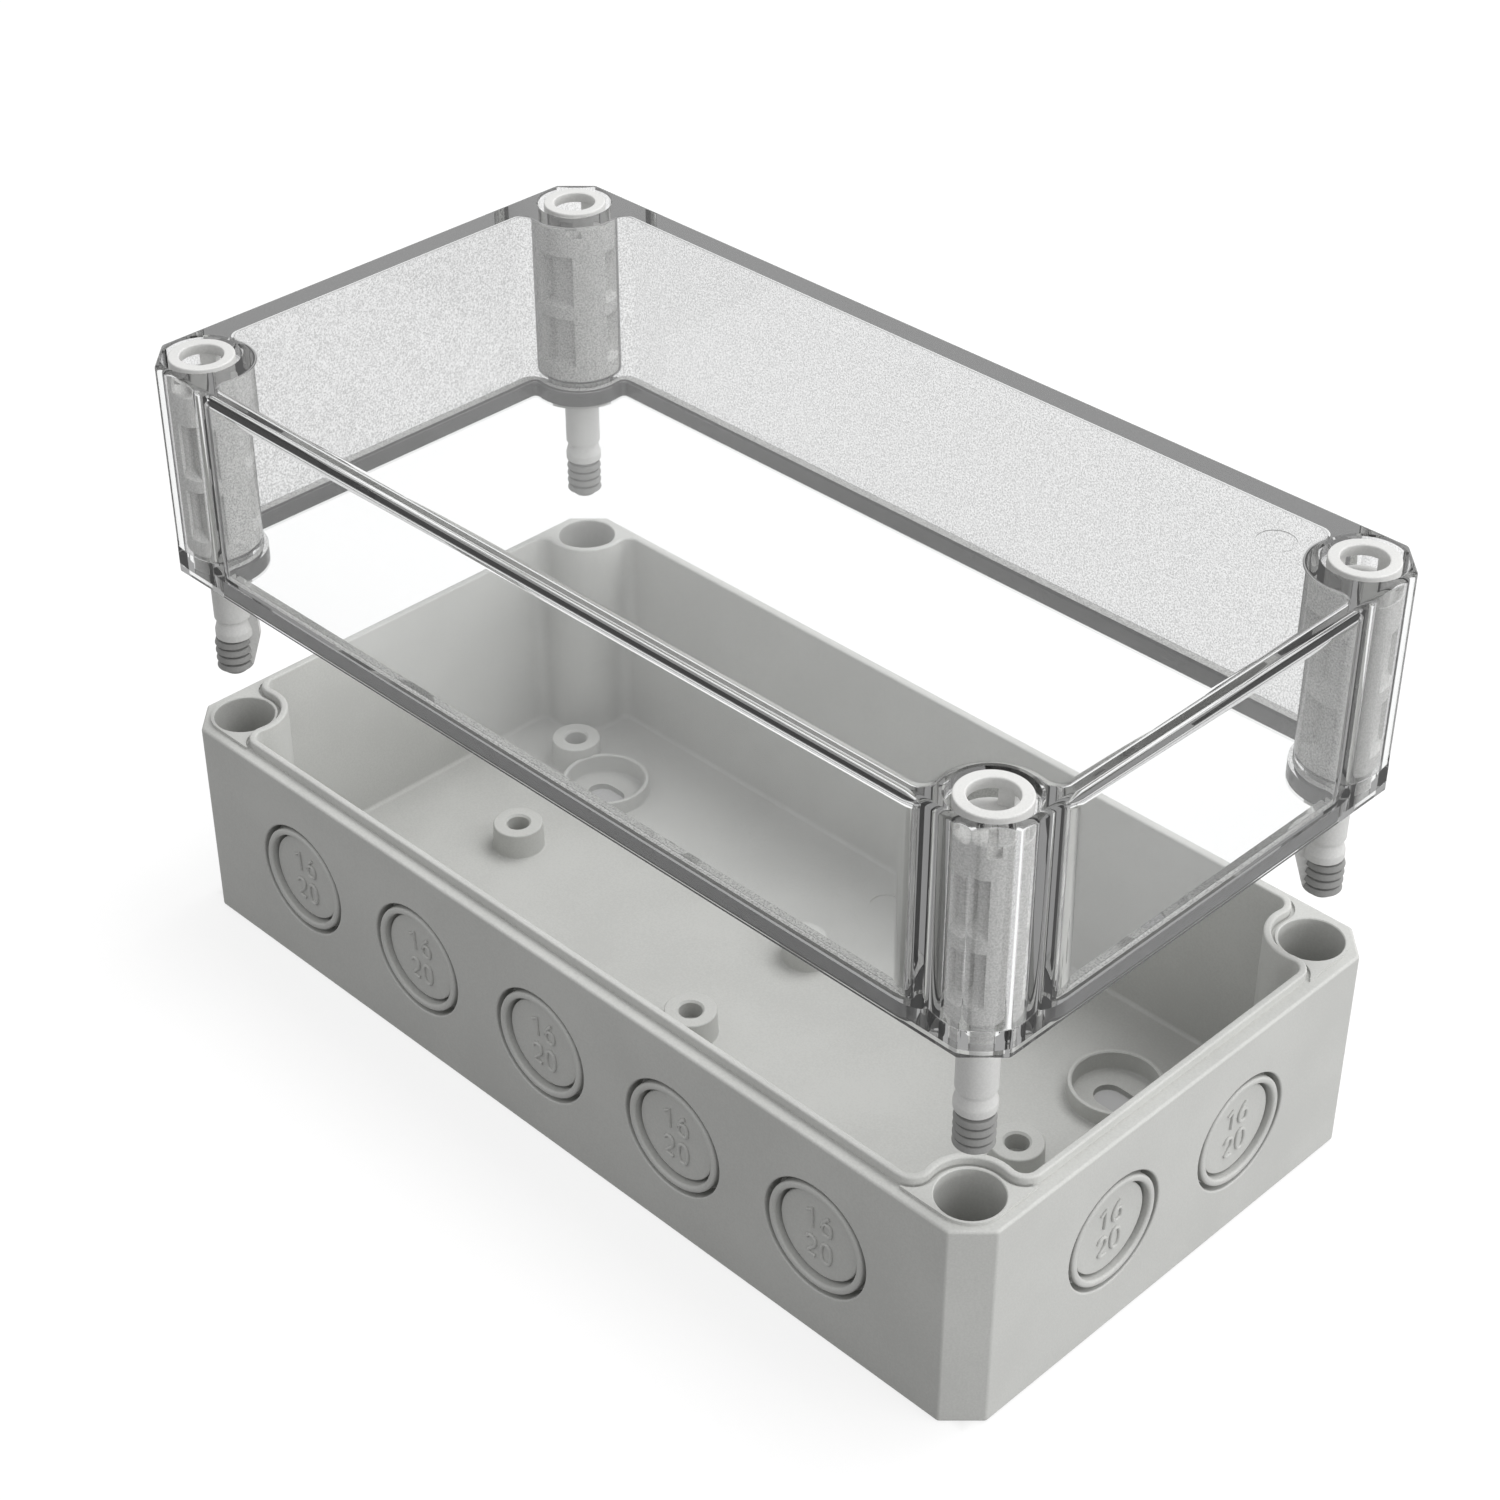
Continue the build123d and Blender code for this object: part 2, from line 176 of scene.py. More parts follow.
class BaseSettings(bpy.types.PropertyGroup):
    """Sizes of the base shell."""

    rim: size("Rim height", "Height of the rim above the foot", 38.0)
    floor: size("Floor", "Thickness of the floor", 2.0)
    edge_round: size("Edge rounding", "Rounding of the foot and the rim", 0.5)
    tongue_thickness: size("Tongue thickness", "Thickness of the sealing tongue", 1.2)
    tongue_height: size("Tongue height", "Height of the sealing tongue above the rim", 1.6)
    tongue_round: size("Tongue rounding", "Rounding along the top of the tongue", 0.35)
    pad_inset: size("Pad inset", "Raised pad round a well, from the outer faces", 1.7)
    pad_height: size("Pad height", "Height of the pads above the rim", 0.5)
    pad_reach: size("Pad reach", "Reach of the pads past the screw axis", 8.0)
    pad_groove: size("Pad groove", "Groove between the pads and the tongue", 0.65)
    well_r: size("Well radius", "Radius of a screw well", 5.15)
    well_lower_r: size("Lower well radius", "Radius of the lower part of a well", 4.7)
    well_step: size("Well step", "Height where the well narrows", 24.0)
    well_floor: size("Well floor", "Height of the bottom of a well", 13.5)
    cup_r: size("Cup radius", "Outer radius of a wall-fixing cup", 8.0)
    cup_inner_r: size("Cup inner radius", "Inner radius of a wall-fixing cup", 7.25)
    cup_rim: size("Cup height", "Height of the cup's rim", 5.0)
    cup_floor: size("Cup floor", "Height of the cup's floor", 1.2)
    slot_length: size("Slot length", "Length of the slot in a cup", 7.6)
    slot_width: size("Slot width", "Width of the slot in a cup", 5.3)
    boss_top: size("Boss height", "Height of the pierced bosses", 7.0)
    boss_r: size("Boss radius", "Radius of a boss at its top", 4.45)
    boss_foot_r: size("Boss foot radius", "Radius of a boss at its foot", 4.65)
    boss_hole_r: size("Boss hole", "Radius of the hole in a boss", 2.02)
    mark_r: size("Mark radius", "Radius of the mould's pin marks", 3.0)
    mark_depth: size("Mark depth", "Depth of the mould's pin marks", 0.15)


class EntrySettings(bpy.types.PropertyGroup):
    """Sizes of the knock-out cable entries."""

    height: size("Entry height", "Height of the entries' axes", 19.2)
    pitch: size("Entry pitch", "Distance from one entry to the next", 30.0)
    long_count: number("Entries, long wall", "Entries in each long wall", 5)
    short_count: number("Entries, short wall", "Entries in each short wall", 2)
    large_r: size("Large entry", "Radius of the entry for the large gland", 10.2)
    small_r: size("Small entry", "Radius of the entry for the small gland", 8.25)
    ring_r: size("Ring radius", "Outer radius of the ring's face", 9.45)
    disc_r: size("Disc radius", "Radius of the disc's face", 7.75)
    disc_recess: size("Disc recess", "How far the disc is set back", 1.0)
    web: size("Web", "Thickness of the web that tears", 0.5)
    mouth_round: size("Mouth rounding", "Rounding of the wall's edge round an entry", 0.3)
    figure_height: size("Figure height", "Height of the size figures", 3.6)
    figure_stroke: size("Figure stroke", "Half the width of a figure's line", 0.3)


class LidSettings(bpy.types.PropertyGroup):
    """Sizes of the clear lid and its seal, with heights above the lid's lower edge."""

    rest: size("Rest height", "Height of the lid's lower edge as shown", LID_LOW.z / MM)
    height: size("Lid height", "Height of the lid", (LID_HIGH.z - LID_LOW.z) / MM)
    wall: size("Lid wall", "Wall thickness of the lid", 2.8)
    top: size("Top", "Thickness of the top", 3.0)
    top_round: size("Top rounding", "Rounding of the top edge", 0.8)
    foot_round: size("Foot rounding", "Rounding of the lower edge", 0.15)
    ceiling_round: size("Ceiling rounding", "Rounding inside, under the top", 0.8)
    tower_r: size("Tower radius", "Radius of a screw tower", 8.0)
    tower_corner_r: size("Tower corners", "Radius where a tower meets the wall", 2.5)
    bore_r: size("Bore radius", "Radius of a tower's bore", 6.3)
    bore_floor: size("Bore floor", "Height of the bore's floor", 4.0)
    shank_hole_r: size("Shank hole", "Radius of the hole for a screw's shank", 3.4)
    lip_height: size("Lip height", "Height of the inner lip", 3.25)
    lip_thickness: size("Lip thickness", "Thickness of the inner lip", 1.0)
    groove_out: size("Groove, outside", "Seal groove from the rim line outwards", 2.5)
    groove_in: size("Groove, inside", "Seal groove from the rim line inwards", 0.25)
    groove_top: size("Groove top", "Height of the groove's ceiling", 2.9)
    seal_gap: size("Seal gap", "Gap beside the seal", 0.05)
    seal_low: size("Seal height", "Height of the seal's lower face", 0.05)


class ScrewSettings(bpy.types.PropertyGroup):
    """Sizes of the captive lid screws, with heights above the lid's lower edge."""

    ring_r: size("Head ring", "Outer radius of the head ring", 5.3)
    ring_hole_r: size("Ring hole", "Inner radius of the head ring", 3.5)
    ring_height: size("Ring height", "Height of the head ring", 1.8)
    head_floor: size("Head floor", "Height of the floor under the ring", 33.5)
    sleeve_r: size("Sleeve radius", "Radius of the windowed sleeve", 5.25)
    sleeve_foot: size("Sleeve foot", "Height of the sleeve's lower end", 4.05)
    shank_r: size("Shank radius", "Radius of the shank", 3.05)
    slot_width: size("Drive slot width", "Width of the drive slot", 2.3)
    slot_depth: size("Drive slot depth", "Depth of the drive slot", 1.8)
    ridge_r: size("Ridge radius", "Radius of the ridges on the tip", 3.1)
    ridge_depth: size("Ridge depth", "Depth of the grooves between the ridges", 0.85)
    ridge_pitch: size("Ridge pitch", "Distance from one ridge to the next", 1.5)
    tip_end: size("Tip end", "Height of the tip's end", -21.6, -1.0)
    tip_foot: size("Tip foot", "Height of the lowest ridge", -20.5, -1.0)
    tip_shift: size("Tip shift", "From the screw's axis to the tip's, away from the fin", 0.4)
    ridges: number("Ridges", "Grooves round the tip", 4)
    fin_thickness: size("Fin thickness", "Thickness of the fin beside the tip", 1.3)
    edge_round: size("Edge rounding", "Rounding of the head ring's edges", 0.25)


class FinishSettings(bpy.types.PropertyGroup):
    """Colours and surface detail."""

    base: colour("Base", "Colour of the base's plastic", (0.50, 0.503, 0.487))
    screw: colour("Screws", "Colour of the screws' plastic", (0.58, 0.58, 0.57))
    seal: colour("Seal", "Colour of the seal", (0.06, 0.06, 0.06))
    # The seal's upward faces painted lighter than its foam: painted light on its top
    painted_light_top: colour("Seal bond", "Colour of the bonded top of the seal", (0.5, 0.5, 0.49))
    lid: colour("Lid", "Tint of the clear lid", (0.985, 0.99, 0.99))
    # Grey speckle on the lid's inner walls: a fine grain, with painted shade in its grey
    frost_and_shade: colour("Lid inside", "Tint of the lid's fine-grained inner walls", (0.68, 0.68, 0.68))
    # Grey speckle in the bores, on both sides: a fine grain, with painted shade in its grey
    bores: colour("Lid bores", "Tint of the fine-grained bores", (0.7, 0.7, 0.7))
    # The screws' plastic made darker on the ridged tips: painted shade on the ridges
    tip: colour("Screw tips", "Colour of the screws' ridged tips", (0.25, 0.25, 0.245))
    grain: size("Grain", "Size of the plastic's moulded grain", 0.35)
    frost_grain: size("Frost", "Size of the lid's fine grain", 0.28)


class StageSettings(bpy.types.PropertyGroup):
    """Camera, floor and lamps."""

    camera: FloatVectorProperty(
        name="Camera", description="Place of the camera", default=(0.27276, -0.27310, 0.32725),
        subtype="TRANSLATION", unit="LENGTH",
    )
    azimuth: bearing("Azimuth", "Turn of the view from straight along Y", 44.98)
    elevation: bearing("Elevation", "How far the view looks down", 35.43)
    lens: FloatProperty(
        name="Lens", description="Focal length", default=71.2, min=1.0, unit="CAMERA"
    )
    floor: colour("Floor", "Colour of the floor", (0.22, 0.22, 0.22))
    # The floor under the case glows less over this length and width: a painted shadow
    painted_shadow_length: size("Length under the case", "Length of floor kept dark by the case", 178.0)
    painted_shadow_width: size("Width under the case", "Width of floor kept dark by the case", 92.0)
    floor_gloss: fraction("Floor in reflections", "Share of the floor's whiteness there", 0.3)
    sky_share: fraction("Sky in reflections", "Share of the backdrop's white there", 0.2)
    world: FloatProperty(
        name="Sky", description="Strength of the light from all around", default=0.75, min=0.0
    )
    key: wattage("Key lamp", "Power of the lamp high on the right", 4.4)
    top: wattage("Top lamp", "Power of the lamp overhead", 11.0)
    side: wattage("Side lamp", "Power of the lamp low on the right", 8.1)


class EnclosureSettings(bpy.types.PropertyGroup):
    """All settings of the enclosure and its studio."""

    case: PointerProperty(type=CaseSettings)
    base: PointerProperty(type=BaseSettings)
    entry: PointerProperty(type=EntrySettings)
    lid: PointerProperty(type=LidSettings)
    screw: PointerProperty(type=ScrewSettings)
    finish: PointerProperty(type=FinishSettings)
    stage: PointerProperty(type=StageSettings)


def in_mm(group):
    """A group's lengths in millimetres, under their own names, with its counts as they are."""
    values = {}
    for prop in group.bl_rna.properties:
        if prop.type == "FLOAT" and prop.unit == "LENGTH":
            values[prop.identifier] = getattr(group, prop.identifier) / MM
        elif prop.type == "INT":
            values[prop.identifier] = getattr(group, prop.identifier)
    return SimpleNamespace(**values)


# Lines in a plane, in millimetres


def rounded(points, closed=True, steps=5):
    """A line with its corners rounded. Each point is x, y and the radius of its corner."""
    line = []
    count = len(points)
    for i, (x, y, radius) in enumerate(points):
        here = Vector((x, y))
        at_end = not closed and i in (0, count - 1)
        before = here - Vector(points[i - 1][:2])
        after = Vector(points[(i + 1) % count][:2]) - here
        turn = atan2(before.x * after.y - before.y * after.x, before.dot(after))
        if radius == 0 or at_end or abs(turn) < 0.001:
            line.append(here)
            continue
        reach = min(radius * tan(abs(turn) / 2), before.length * 0.49, after.length * 0.49)
        radius = reach / tan(abs(turn) / 2)
        along = before.normalized()
        aside = Vector((-along.y, along.x)) * copysign(radius, turn)
        centre = here - along * reach + aside
        for k in range(steps + 1):
            line.append(centre - Matrix.Rotation(turn * k / steps, 2) @ aside)
    return line


def outline(case, inset):
    """The case's outer plan, moved inwards: a rectangle with cut corners, lightly rounded."""
    x = case.length / 2 - inset
    y = case.width / 2 - inset
    cut = case.corner_cut - inset * (2 - sqrt(2))
    radius = max(case.upright_round - inset, 0.04)
    corners = [(x - cut, -y), (x, cut - y), (x, y - cut), (x - cut, y)]
    corners += [(cut - x, y), (-x, y - cut), (-x, cut - y), (cut - x, -y)]
    return rounded([(px, py, radius) for px, py in corners])


def four_times(quarter):
    """A closed line from its first quarter, mirrored into the other three."""
    line = []
    for sx, sy in QUARTERS:
        part = [Vector((sx * p.x, sy * p.y)) for p in quarter]
        line += part if sx * sy > 0 else part[::-1]
    return line


def bay(case, wall, well_r, corner_r):
    """The plan inside walls of one thickness, passing each screw well on an arc."""
    half_x = case.length / 2 - wall
    half_y = case.width / 2 - wall
    well = Vector((case.length / 2 - case.well_inset, case.width / 2 - case.well_inset))
    reach = well_r + corner_r
    side_x = well.x - sqrt(reach**2 - (half_y - corner_r - well.y) ** 2)
    side_y = well.y - sqrt(reach**2 - (half_x - corner_r - well.x) ** 2)
    short_centre = Vector((half_x - corner_r, side_y))
    long_centre = Vector((side_x, half_y - corner_r))
    short_turn = angle_of(well - short_centre)
    long_turn = angle_of(well - long_centre)
    quarter = arc(short_centre, corner_r, 0, short_turn, 7)
    quarter += arc(well, well_r, short_turn - pi, long_turn - pi, 18)[1:-1]
    quarter += arc(long_centre, corner_r, long_turn, pi / 2, 7)
    return four_times(quarter)


def angle_of(direction):
    """The angle of a direction in plan."""
    return atan2(direction.y, direction.x)


def arc(centre, radius, start, end, steps):
    """Points along an arc between two angles, both ends included."""
    line = []
    for k in range(steps + 1):
        angle = start + (end - start) * k / steps
        line.append(centre + Vector((cos(angle), sin(angle))) * radius)
    return line


def rim_line(case, inward):
    """The base cavity's plan, moved inwards by a distance, or outwards if negative."""
    return bay(case, case.wall + inward, case.rim_well_r + inward, case.rim_corner_r - inward)


def bend(radius, steps=5):
    """Steps of a quarter round: the distance across and the distance up at each."""
    angles = [pi / 2 * k / steps for k in range(steps + 1)]
    return [(radius * (1 - cos(a)), radius * sin(a)) for a in angles]


# Closed meshes, in millimetres


def close_up(bm):
    """Turns all faces outwards."""
    bmesh.ops.recalc_face_normals(bm, faces=bm.faces[:])
    return bm


def skin(bm, rows, closed=False):
    """A solid through rows of points, with flat ends, or with its ends joined if closed."""
    for low, high in zip(rows[-1:] + rows, rows) if closed else zip(rows, rows[1:]):
        for i in range(len(low)):
            bm.faces.new((low[i - 1], low[i], high[i], high[i - 1]))
    if not closed:
        bm.faces.new(rows[0][::-1])
        bm.faces.new(rows[-1])
    return close_up(bm)


def stack(levels):
    """A solid through plans at heights, each level a line and its z, with flat ends."""
    bm = bmesh.new()
    return skin(bm, [[bm.verts.new((p.x, p.y, z)) for p in line] for line, z in levels])


def prism(line, low, high):
    """A solid with one plan between two heights."""
    return stack([(line, low), (line, high)])


def rim_ring(case, section):
    """A ring along the cavity's edge. Each section point is a distance inwards and a height."""
    bm = bmesh.new()
    lines = [(rim_line(case, inward), z) for inward, z in section]
    rows = [[bm.verts.new((p.x, p.y, z)) for p in line] for line, z in lines]
    return skin(bm, rows, closed=True)


def lathe(profile, steps=64, closed=False):
    """A solid turned about Z. Each profile point is a radius and a height."""
    bm = bmesh.new()
    rows = []
    for radius, z in profile:
        turns = steps if radius > 0 else 1
        angles = [2 * pi * k / steps for k in range(turns)]
        rows.append([bm.verts.new((radius * cos(a), radius * sin(a), z)) for a in angles])
    pairs = list(zip(rows, rows[1:]))
    if closed:
        pairs.append((rows[-1], rows[0]))
    for low, high in pairs:
        for i in range(steps):
            j = (i + 1) % steps
            corners = [low[i % len(low)], low[j % len(low)]]
            corners += [high[j % len(high)], high[i % len(high)]]
            bm.faces.new(list(dict.fromkeys(corners)))
    return close_up(bm)


def turned(profile, steps=64):
    """A solid turned about Z. Each profile point is a radius, a height and a rounding."""
    return lathe(rounded(profile, closed=False), steps)


def sector(profile, middle, angle, steps=12):
    """A closed profile of radii and heights turned through part of a circle."""
    bm = bmesh.new()
    rows = []
    for k in range(steps + 1):
        a = radians(middle - angle / 2 + angle * k / steps)
        rows.append([bm.verts.new((r * cos(a), r * sin(a), z)) for r, z in profile])
    return skin(bm, rows)


def moved(bm, matrix):
    """A copy of a mesh under a matrix, with its faces still turned outwards."""
    copy = bm.copy()
    bmesh.ops.transform(copy, matrix=matrix, verts=copy.verts[:])
    return close_up(copy)


def corner_spots(case, inset_x, inset_y):
    """The plan places near the four corners, at insets from the outer faces."""
    x = case.length / 2 - inset_x
    y = case.width / 2 - inset_y
    return [(sx * x, sy * y) for sx, sy in QUARTERS]


def wells(case):
    """The plan places of the screw axes."""
    return corner_spots(case, case.well_inset, case.well_inset)


def copies(bm, spots):
    """A mesh moved to each of several plan places."""
    return [moved(bm, Matrix.Translation((x, y, 0))) for x, y in spots]


def new_object(name, data):
    """A new object in the scene."""
    obj = bpy.data.objects.new(name, data)
    bpy.context.scene.collection.objects.link(obj)
    return obj


def as_object(name, meshes, slot=0):
    """One object from one or more meshes, with all faces in one material slot."""
    data = bpy.data.meshes.new(name)
    joined = bmesh.new()
    for bm in meshes:
        bm.to_mesh(data)
        joined.from_mesh(data)
    for face in joined.faces:
        face.material_index = slot
    joined.to_mesh(data)
    joined.free()
    return new_object(name, data)


def as_shown(obj):
    """A mesh of an object as it is shown, with its modifiers applied."""
    bpy.context.view_layer.update()
    shown = obj.evaluated_get(bpy.context.evaluated_depsgraph_get())
    return bpy.data.meshes.new_from_object(shown)


def bake(obj):
    """Applies an object's modifiers."""
    data = as_shown(obj)
    obj.modifiers.clear()
    obj.data = data


def taken_out(obj):
    """An object's mesh as it is shown. The object is removed."""
    bm = bmesh.new()
    bm.from_mesh(as_shown(obj))
    bpy.data.objects.remove(obj)
    return bm


def combine(obj, operation, meshes, slot=0):
    """Adds closed meshes to an object's mesh, or takes them away from it."""
    tool = as_object("tool", meshes, slot)
    modifier = obj.modifiers.new("Combine", "BOOLEAN")
    modifier.solver = "EXACT"
    modifier.operation = operation
    modifier.object = tool
    bake(obj)
    bpy.data.objects.remove(tool)


def add(obj, meshes, slot=0):
    """Joins closed meshes to an object's mesh."""
    combine(obj, "UNION", meshes, slot)


def cut(obj, meshes, slot=0):
    """Takes closed meshes away from an object's mesh."""
    combine(obj, "DIFFERENCE", meshes, slot)


def trimmed(meshes, tools):
    """One mesh from closed meshes, with others taken away from it."""
    obj = as_object("blank", meshes)
    cut(obj, tools)
    return taken_out(obj)


def shade(obj):
    """Smooth rounds, sharp creases, and flat faces that stay flat up to their rounds."""
    obj.data.transform(Matrix.Scale(MM, 4))
    obj.data.shade_smooth()
    obj.data.set_sharp_from_angle(angle=radians(CREASE_ANGLE))
    modifier = obj.modifiers.new("Normals", "WEIGHTED_NORMAL")
    modifier.keep_sharp = True
    modifier.weight = 100
    bake(obj)


def place(obj, body, node, slot, *materials):
    """Shades a piece, gives it its materials and its body, and hides the imported part it takes the
    place of.
    """
    shade(obj)
    for material in materials:
        obj.data.materials.append(material)
    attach(obj, body)
    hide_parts(node)


# Materials


class Nodes:
    """A node tree. A value given to its calls is a float, a colour or a node's output."""

    def __init__(self, tree):
        self.tree = tree

    def add(self, kind, **settings):
        """Adds a node."""
        node = self.tree.nodes.new(kind)
        for name, value in settings.items():
            setattr(node, name, value)
        return node

    def link(self, start, end):
        self.tree.links.new(start, end)

    def put(self, value, socket):
        """Gives a socket a value, by a link if the value is another node's output."""
        if isinstance(value, bpy.types.NodeSocket):
            self.link(value, socket)
        elif isinstance(value, float):
            socket.default_value = value
        else:
            socket.default_value = (*value, 1)

    def fill(self, node, values):
        """Gives values to a node's sockets, by name."""
        for name, value in values.items():
            self.put(value, node.inputs[name])

    def math(self, operation, *values):
        """The result of an operation on values."""
        node = self.add("ShaderNodeMath", operation=operation)
        for socket, value in zip(node.inputs, values):
            self.put(value, socket)
        return node.outputs[0]

    def ramp(self, value, low, high, start=0.3, end=0.7):
        """A number that goes from low to high as a value goes from start to end."""
        node = self.add("ShaderNodeMapRange")
        self.fill(node, {"From Min": start, "From Max": end, "To Min": low, "To Max": high})
        self.link(value, node.inputs["Value"])
        return node.outputs["Result"]

    def mix(self, factor, low, high):
        """A colour between two others."""
        node = self.add("ShaderNodeMix", data_type="RGBA")
        self.fill(node, {"Factor": factor, "A": low, "B": high})
        return node.outputs["Result"]

    def rays(self):
        """What kind of ray meets the surface, as outputs."""
        return self.add("ShaderNodeLightPath").outputs

    def seen(self, reflected, through):
        """One for camera rays, and a share of that for reflected rays and rays through glass."""
        rays = self.rays()
        mirror = self.math("MULTIPLY", rays["Is Glossy Ray"], reflected)
        glass = self.math("MULTIPLY", rays["Is Transmission Ray"], through)
        return self.math("MAXIMUM", self.math("MAXIMUM", rays["Is Camera Ray"], mirror), glass)


class Finish(Nodes):
    """A material's node tree, with its shader."""

    def __init__(self, name):
        self.material = bpy.data.materials.new(name)
        self.material.use_nodes = True
        super().__init__(self.material.node_tree)
        self.shader = self.tree.nodes["Principled BSDF"]
        self.place = self.add("ShaderNodeTexCoord").outputs["Object"]

    def shine(self, values):
        """Gives values to the shader's sockets, by name."""
        self.fill(self.shader, values)

    def noise(self, scale, detail=2.0, roughness=0.5):
        """Fine noise, with scale in waves to the metre."""
        node = self.add("ShaderNodeTexNoise")
        self.fill(node, {"Scale": scale, "Detail": detail, "Roughness": roughness})
        self.link(self.place, node.inputs["Vector"])
        return node.outputs["Fac"]

    def bump(self, height, strength, distance):
        """Small relief on the surface."""
        node = self.add("ShaderNodeBump")
        self.fill(node, {"Strength": strength, "Distance": distance, "Height": height})
        self.shine({"Normal": node.outputs["Normal"]})

    def let_through(self, share, tint=(1.0, 1.0, 1.0)):
        """Lets a share of the rays go straight on, with a tint."""
        straight = self.add("ShaderNodeBsdfTransparent")
        self.put(tint, straight.inputs["Color"])
        both = self.add("ShaderNodeMixShader")
        self.link(share, both.inputs["Fac"])
        self.link(self.shader.outputs["BSDF"], both.inputs[1])
        self.link(straight.outputs["BSDF"], both.inputs[2])
        self.link(both.outputs["Shader"], self.tree.nodes["Material Output"].inputs["Surface"])


def scaled(tint, factor):
    """A colour made lighter or darker."""
    return tuple(min(channel * factor, 1.0) for channel in tint)


def plastic(name, tint, grain, bump, rough):
    """Moulded plastic: a fine grain, faint clouds of tone, and a roughness that varies."""
    nodes = Finish(name)
    clouds = nodes.ramp(nodes.noise(1 / (60 * grain), 3.0), 0.0, 1.0)
    fine = nodes.noise(1 / grain, 2.0, 0.6)
    both = nodes.math("MULTIPLY_ADD", nodes.ramp(fine, -0.5, 0.5, 0.35, 0.65), 0.9, clouds)
    tone = nodes.mix(both, scaled(tint, 1 - TONE_SPREAD), scaled(tint, 1 + TONE_SPREAD))
    gloss = nodes.ramp(fine, rough - ROUGH_SPREAD, rough + ROUGH_SPREAD)
    nodes.shine({"Base Color": tone, "Roughness": gloss})
    nodes.bump(fine, bump, grain * 0.1)
    return nodes.material


def rubber(name, tint, grain):
    """Soft foam strip: pores in its skin, and no shine."""
    nodes = Finish(name)
    pores = nodes.noise(1 / grain, 3.0, 0.7)
    tone = nodes.mix(nodes.ramp(pores, 0.0, 1.0), scaled(tint, 0.8), scaled(tint, 1.25))
    nodes.shine({"Base Color": tone, "Roughness": nodes.ramp(pores, 0.7, 0.9)})
    nodes.bump(pores, 0.4, grain * 0.3)
    return nodes.material


def clear(name, tint, frost_and_shade, grain, contrast=0.5, both_sides=False):
    """Clear polycarbonate that lets the lamps through.

    The frost and shade is the grey tint of a fine-grained face, on its open side only or on both
    sides: a speckled grain whose grey is painted shade.
    """
    nodes = Finish(name)
    nodes.shine({"Transmission Weight": 1.0, "IOR": CLEAR_IOR})
    tone = nodes.mix(nodes.ramp(nodes.noise(30.0), 0.0, 1.0), scaled(tint, 0.995), tint)
    # The grey speckle: painted shade in its grey, on a fine grain
    if frost_and_shade:
        spots = nodes.ramp(nodes.noise(1 / grain, 1.0, 0.5), 0.0, 1.0, 0.35, 0.65)
        speckle = nodes.mix(spots, scaled(frost_and_shade, 1 - contrast), scaled(frost_and_shade, 1 + contrast))
        inner_side = nodes.add("ShaderNodeNewGeometry").outputs["Backfacing"]
        tone = speckle if both_sides else nodes.mix(inner_side, speckle, tone)
    nodes.shine({"Base Color": tone, "Roughness": nodes.ramp(nodes.noise(60.0), 0.0, 0.02)})
    rays = nodes.rays()
    lamp_rays = nodes.math("MAXIMUM", rays["Is Shadow Ray"], rays["Is Diffuse Ray"])
    # Late rays go straight on, dimmed as painted shade for their long paths through the plastic
    late = nodes.math("GREATER_THAN", rays["Ray Depth"], LATE_DEPTH)
    crossings = nodes.ramp(rays["Transparent Depth"], FIRST_DIMMING, LATER_DIMMING, 0.0, 1.0)
    in_edges = nodes.ramp(rays["Is Transmission Ray"], EDGE_DIMMING, 1.0, 0.0, 1.0)
    dimming = nodes.math("MULTIPLY", crossings, in_edges)
    lamp_share_and_painted_dimming = nodes.mix(lamp_rays, dimming, (LAMP_SHARE, LAMP_SHARE, LAMP_SHARE))
    nodes.let_through(nodes.math("MAXIMUM", lamp_rays, late), lamp_share_and_painted_dimming)
    return nodes.material


# Pieces


def block(case, low, high, foot, top):
    """The case's outer form between two heights, with its foot and top edges rounded."""
    levels = [(outline(case, foot - up), low + across) for across, up in bend(foot)]
    levels += [(outline(case, across), high - top + up) for across, up in bend(top)]
    return stack(levels)


def corner_zones(case, inset, reach, low, high):
    """Prisms round the four wells, with corners rounded about the screw axes."""
    x, y = case.length / 2, case.width / 2
    near = case.well_inset + reach
    corners = [(x - near, y - near, 0), (x - inset, y - near, 0)]
    corners += [(x - inset, y - inset, case.well_inset - inset), (x - near, y - inset, 0)]
    line = rounded(corners, steps=16)
    zone = prism(line, low, high)
    return [moved(zone, Matrix.Diagonal((sx, sy, 1, 1))) for sx, sy in QUARTERS]


def entry_frames(case, entry):
    """The name and the matrix of each cable entry: X along the wall and Z outwards."""
    walls = [
        ("front", entry.long_count, Vector((0, -case.width / 2)), Vector((1, 0))),
        ("right", entry.short_count, Vector((case.length / 2, 0)), Vector((0, 1))),
        ("back", entry.long_count, Vector((0, case.width / 2)), Vector((-1, 0))),
        ("left", entry.short_count, Vector((-case.length / 2, 0)), Vector((0, -1))),
    ]
    frames = []
    for wall, count, middle, along in walls:
        for i in range(count):
            spot = middle + along * (i - (count - 1) / 2) * entry.pitch
            columns = [along.to_3d(), Vector((0, 0, 1)), Vector((along.y, -along.x, 0))]
            matrix = Matrix(columns).transposed().to_4x4()
            matrix.translation = (spot.x, spot.y, entry.height)
            frames.append((f"{wall}_{i + 1}", matrix))
    return frames


def slot_line(length, width):
    """A slot's plan along X, with round ends."""
    half = (length - width) / 2
    line = arc(Vector((half, 0)), width / 2, -pi / 2, pi / 2, 14)
    return line + arc(Vector((-half, 0)), width / 2, pi / 2, pi * 1.5, 14)


def boss_spots(case):
    """The plan places of the bosses on the floor."""
    x, y = case.length / 2 - END_BOSS_INSET, case.width / 2 - MIDDLE_BOSS_INSET
    return corner_spots(case, *BOSS_INSETS) + [(x, 0), (-x, 0), (0, y), (0, -y)]


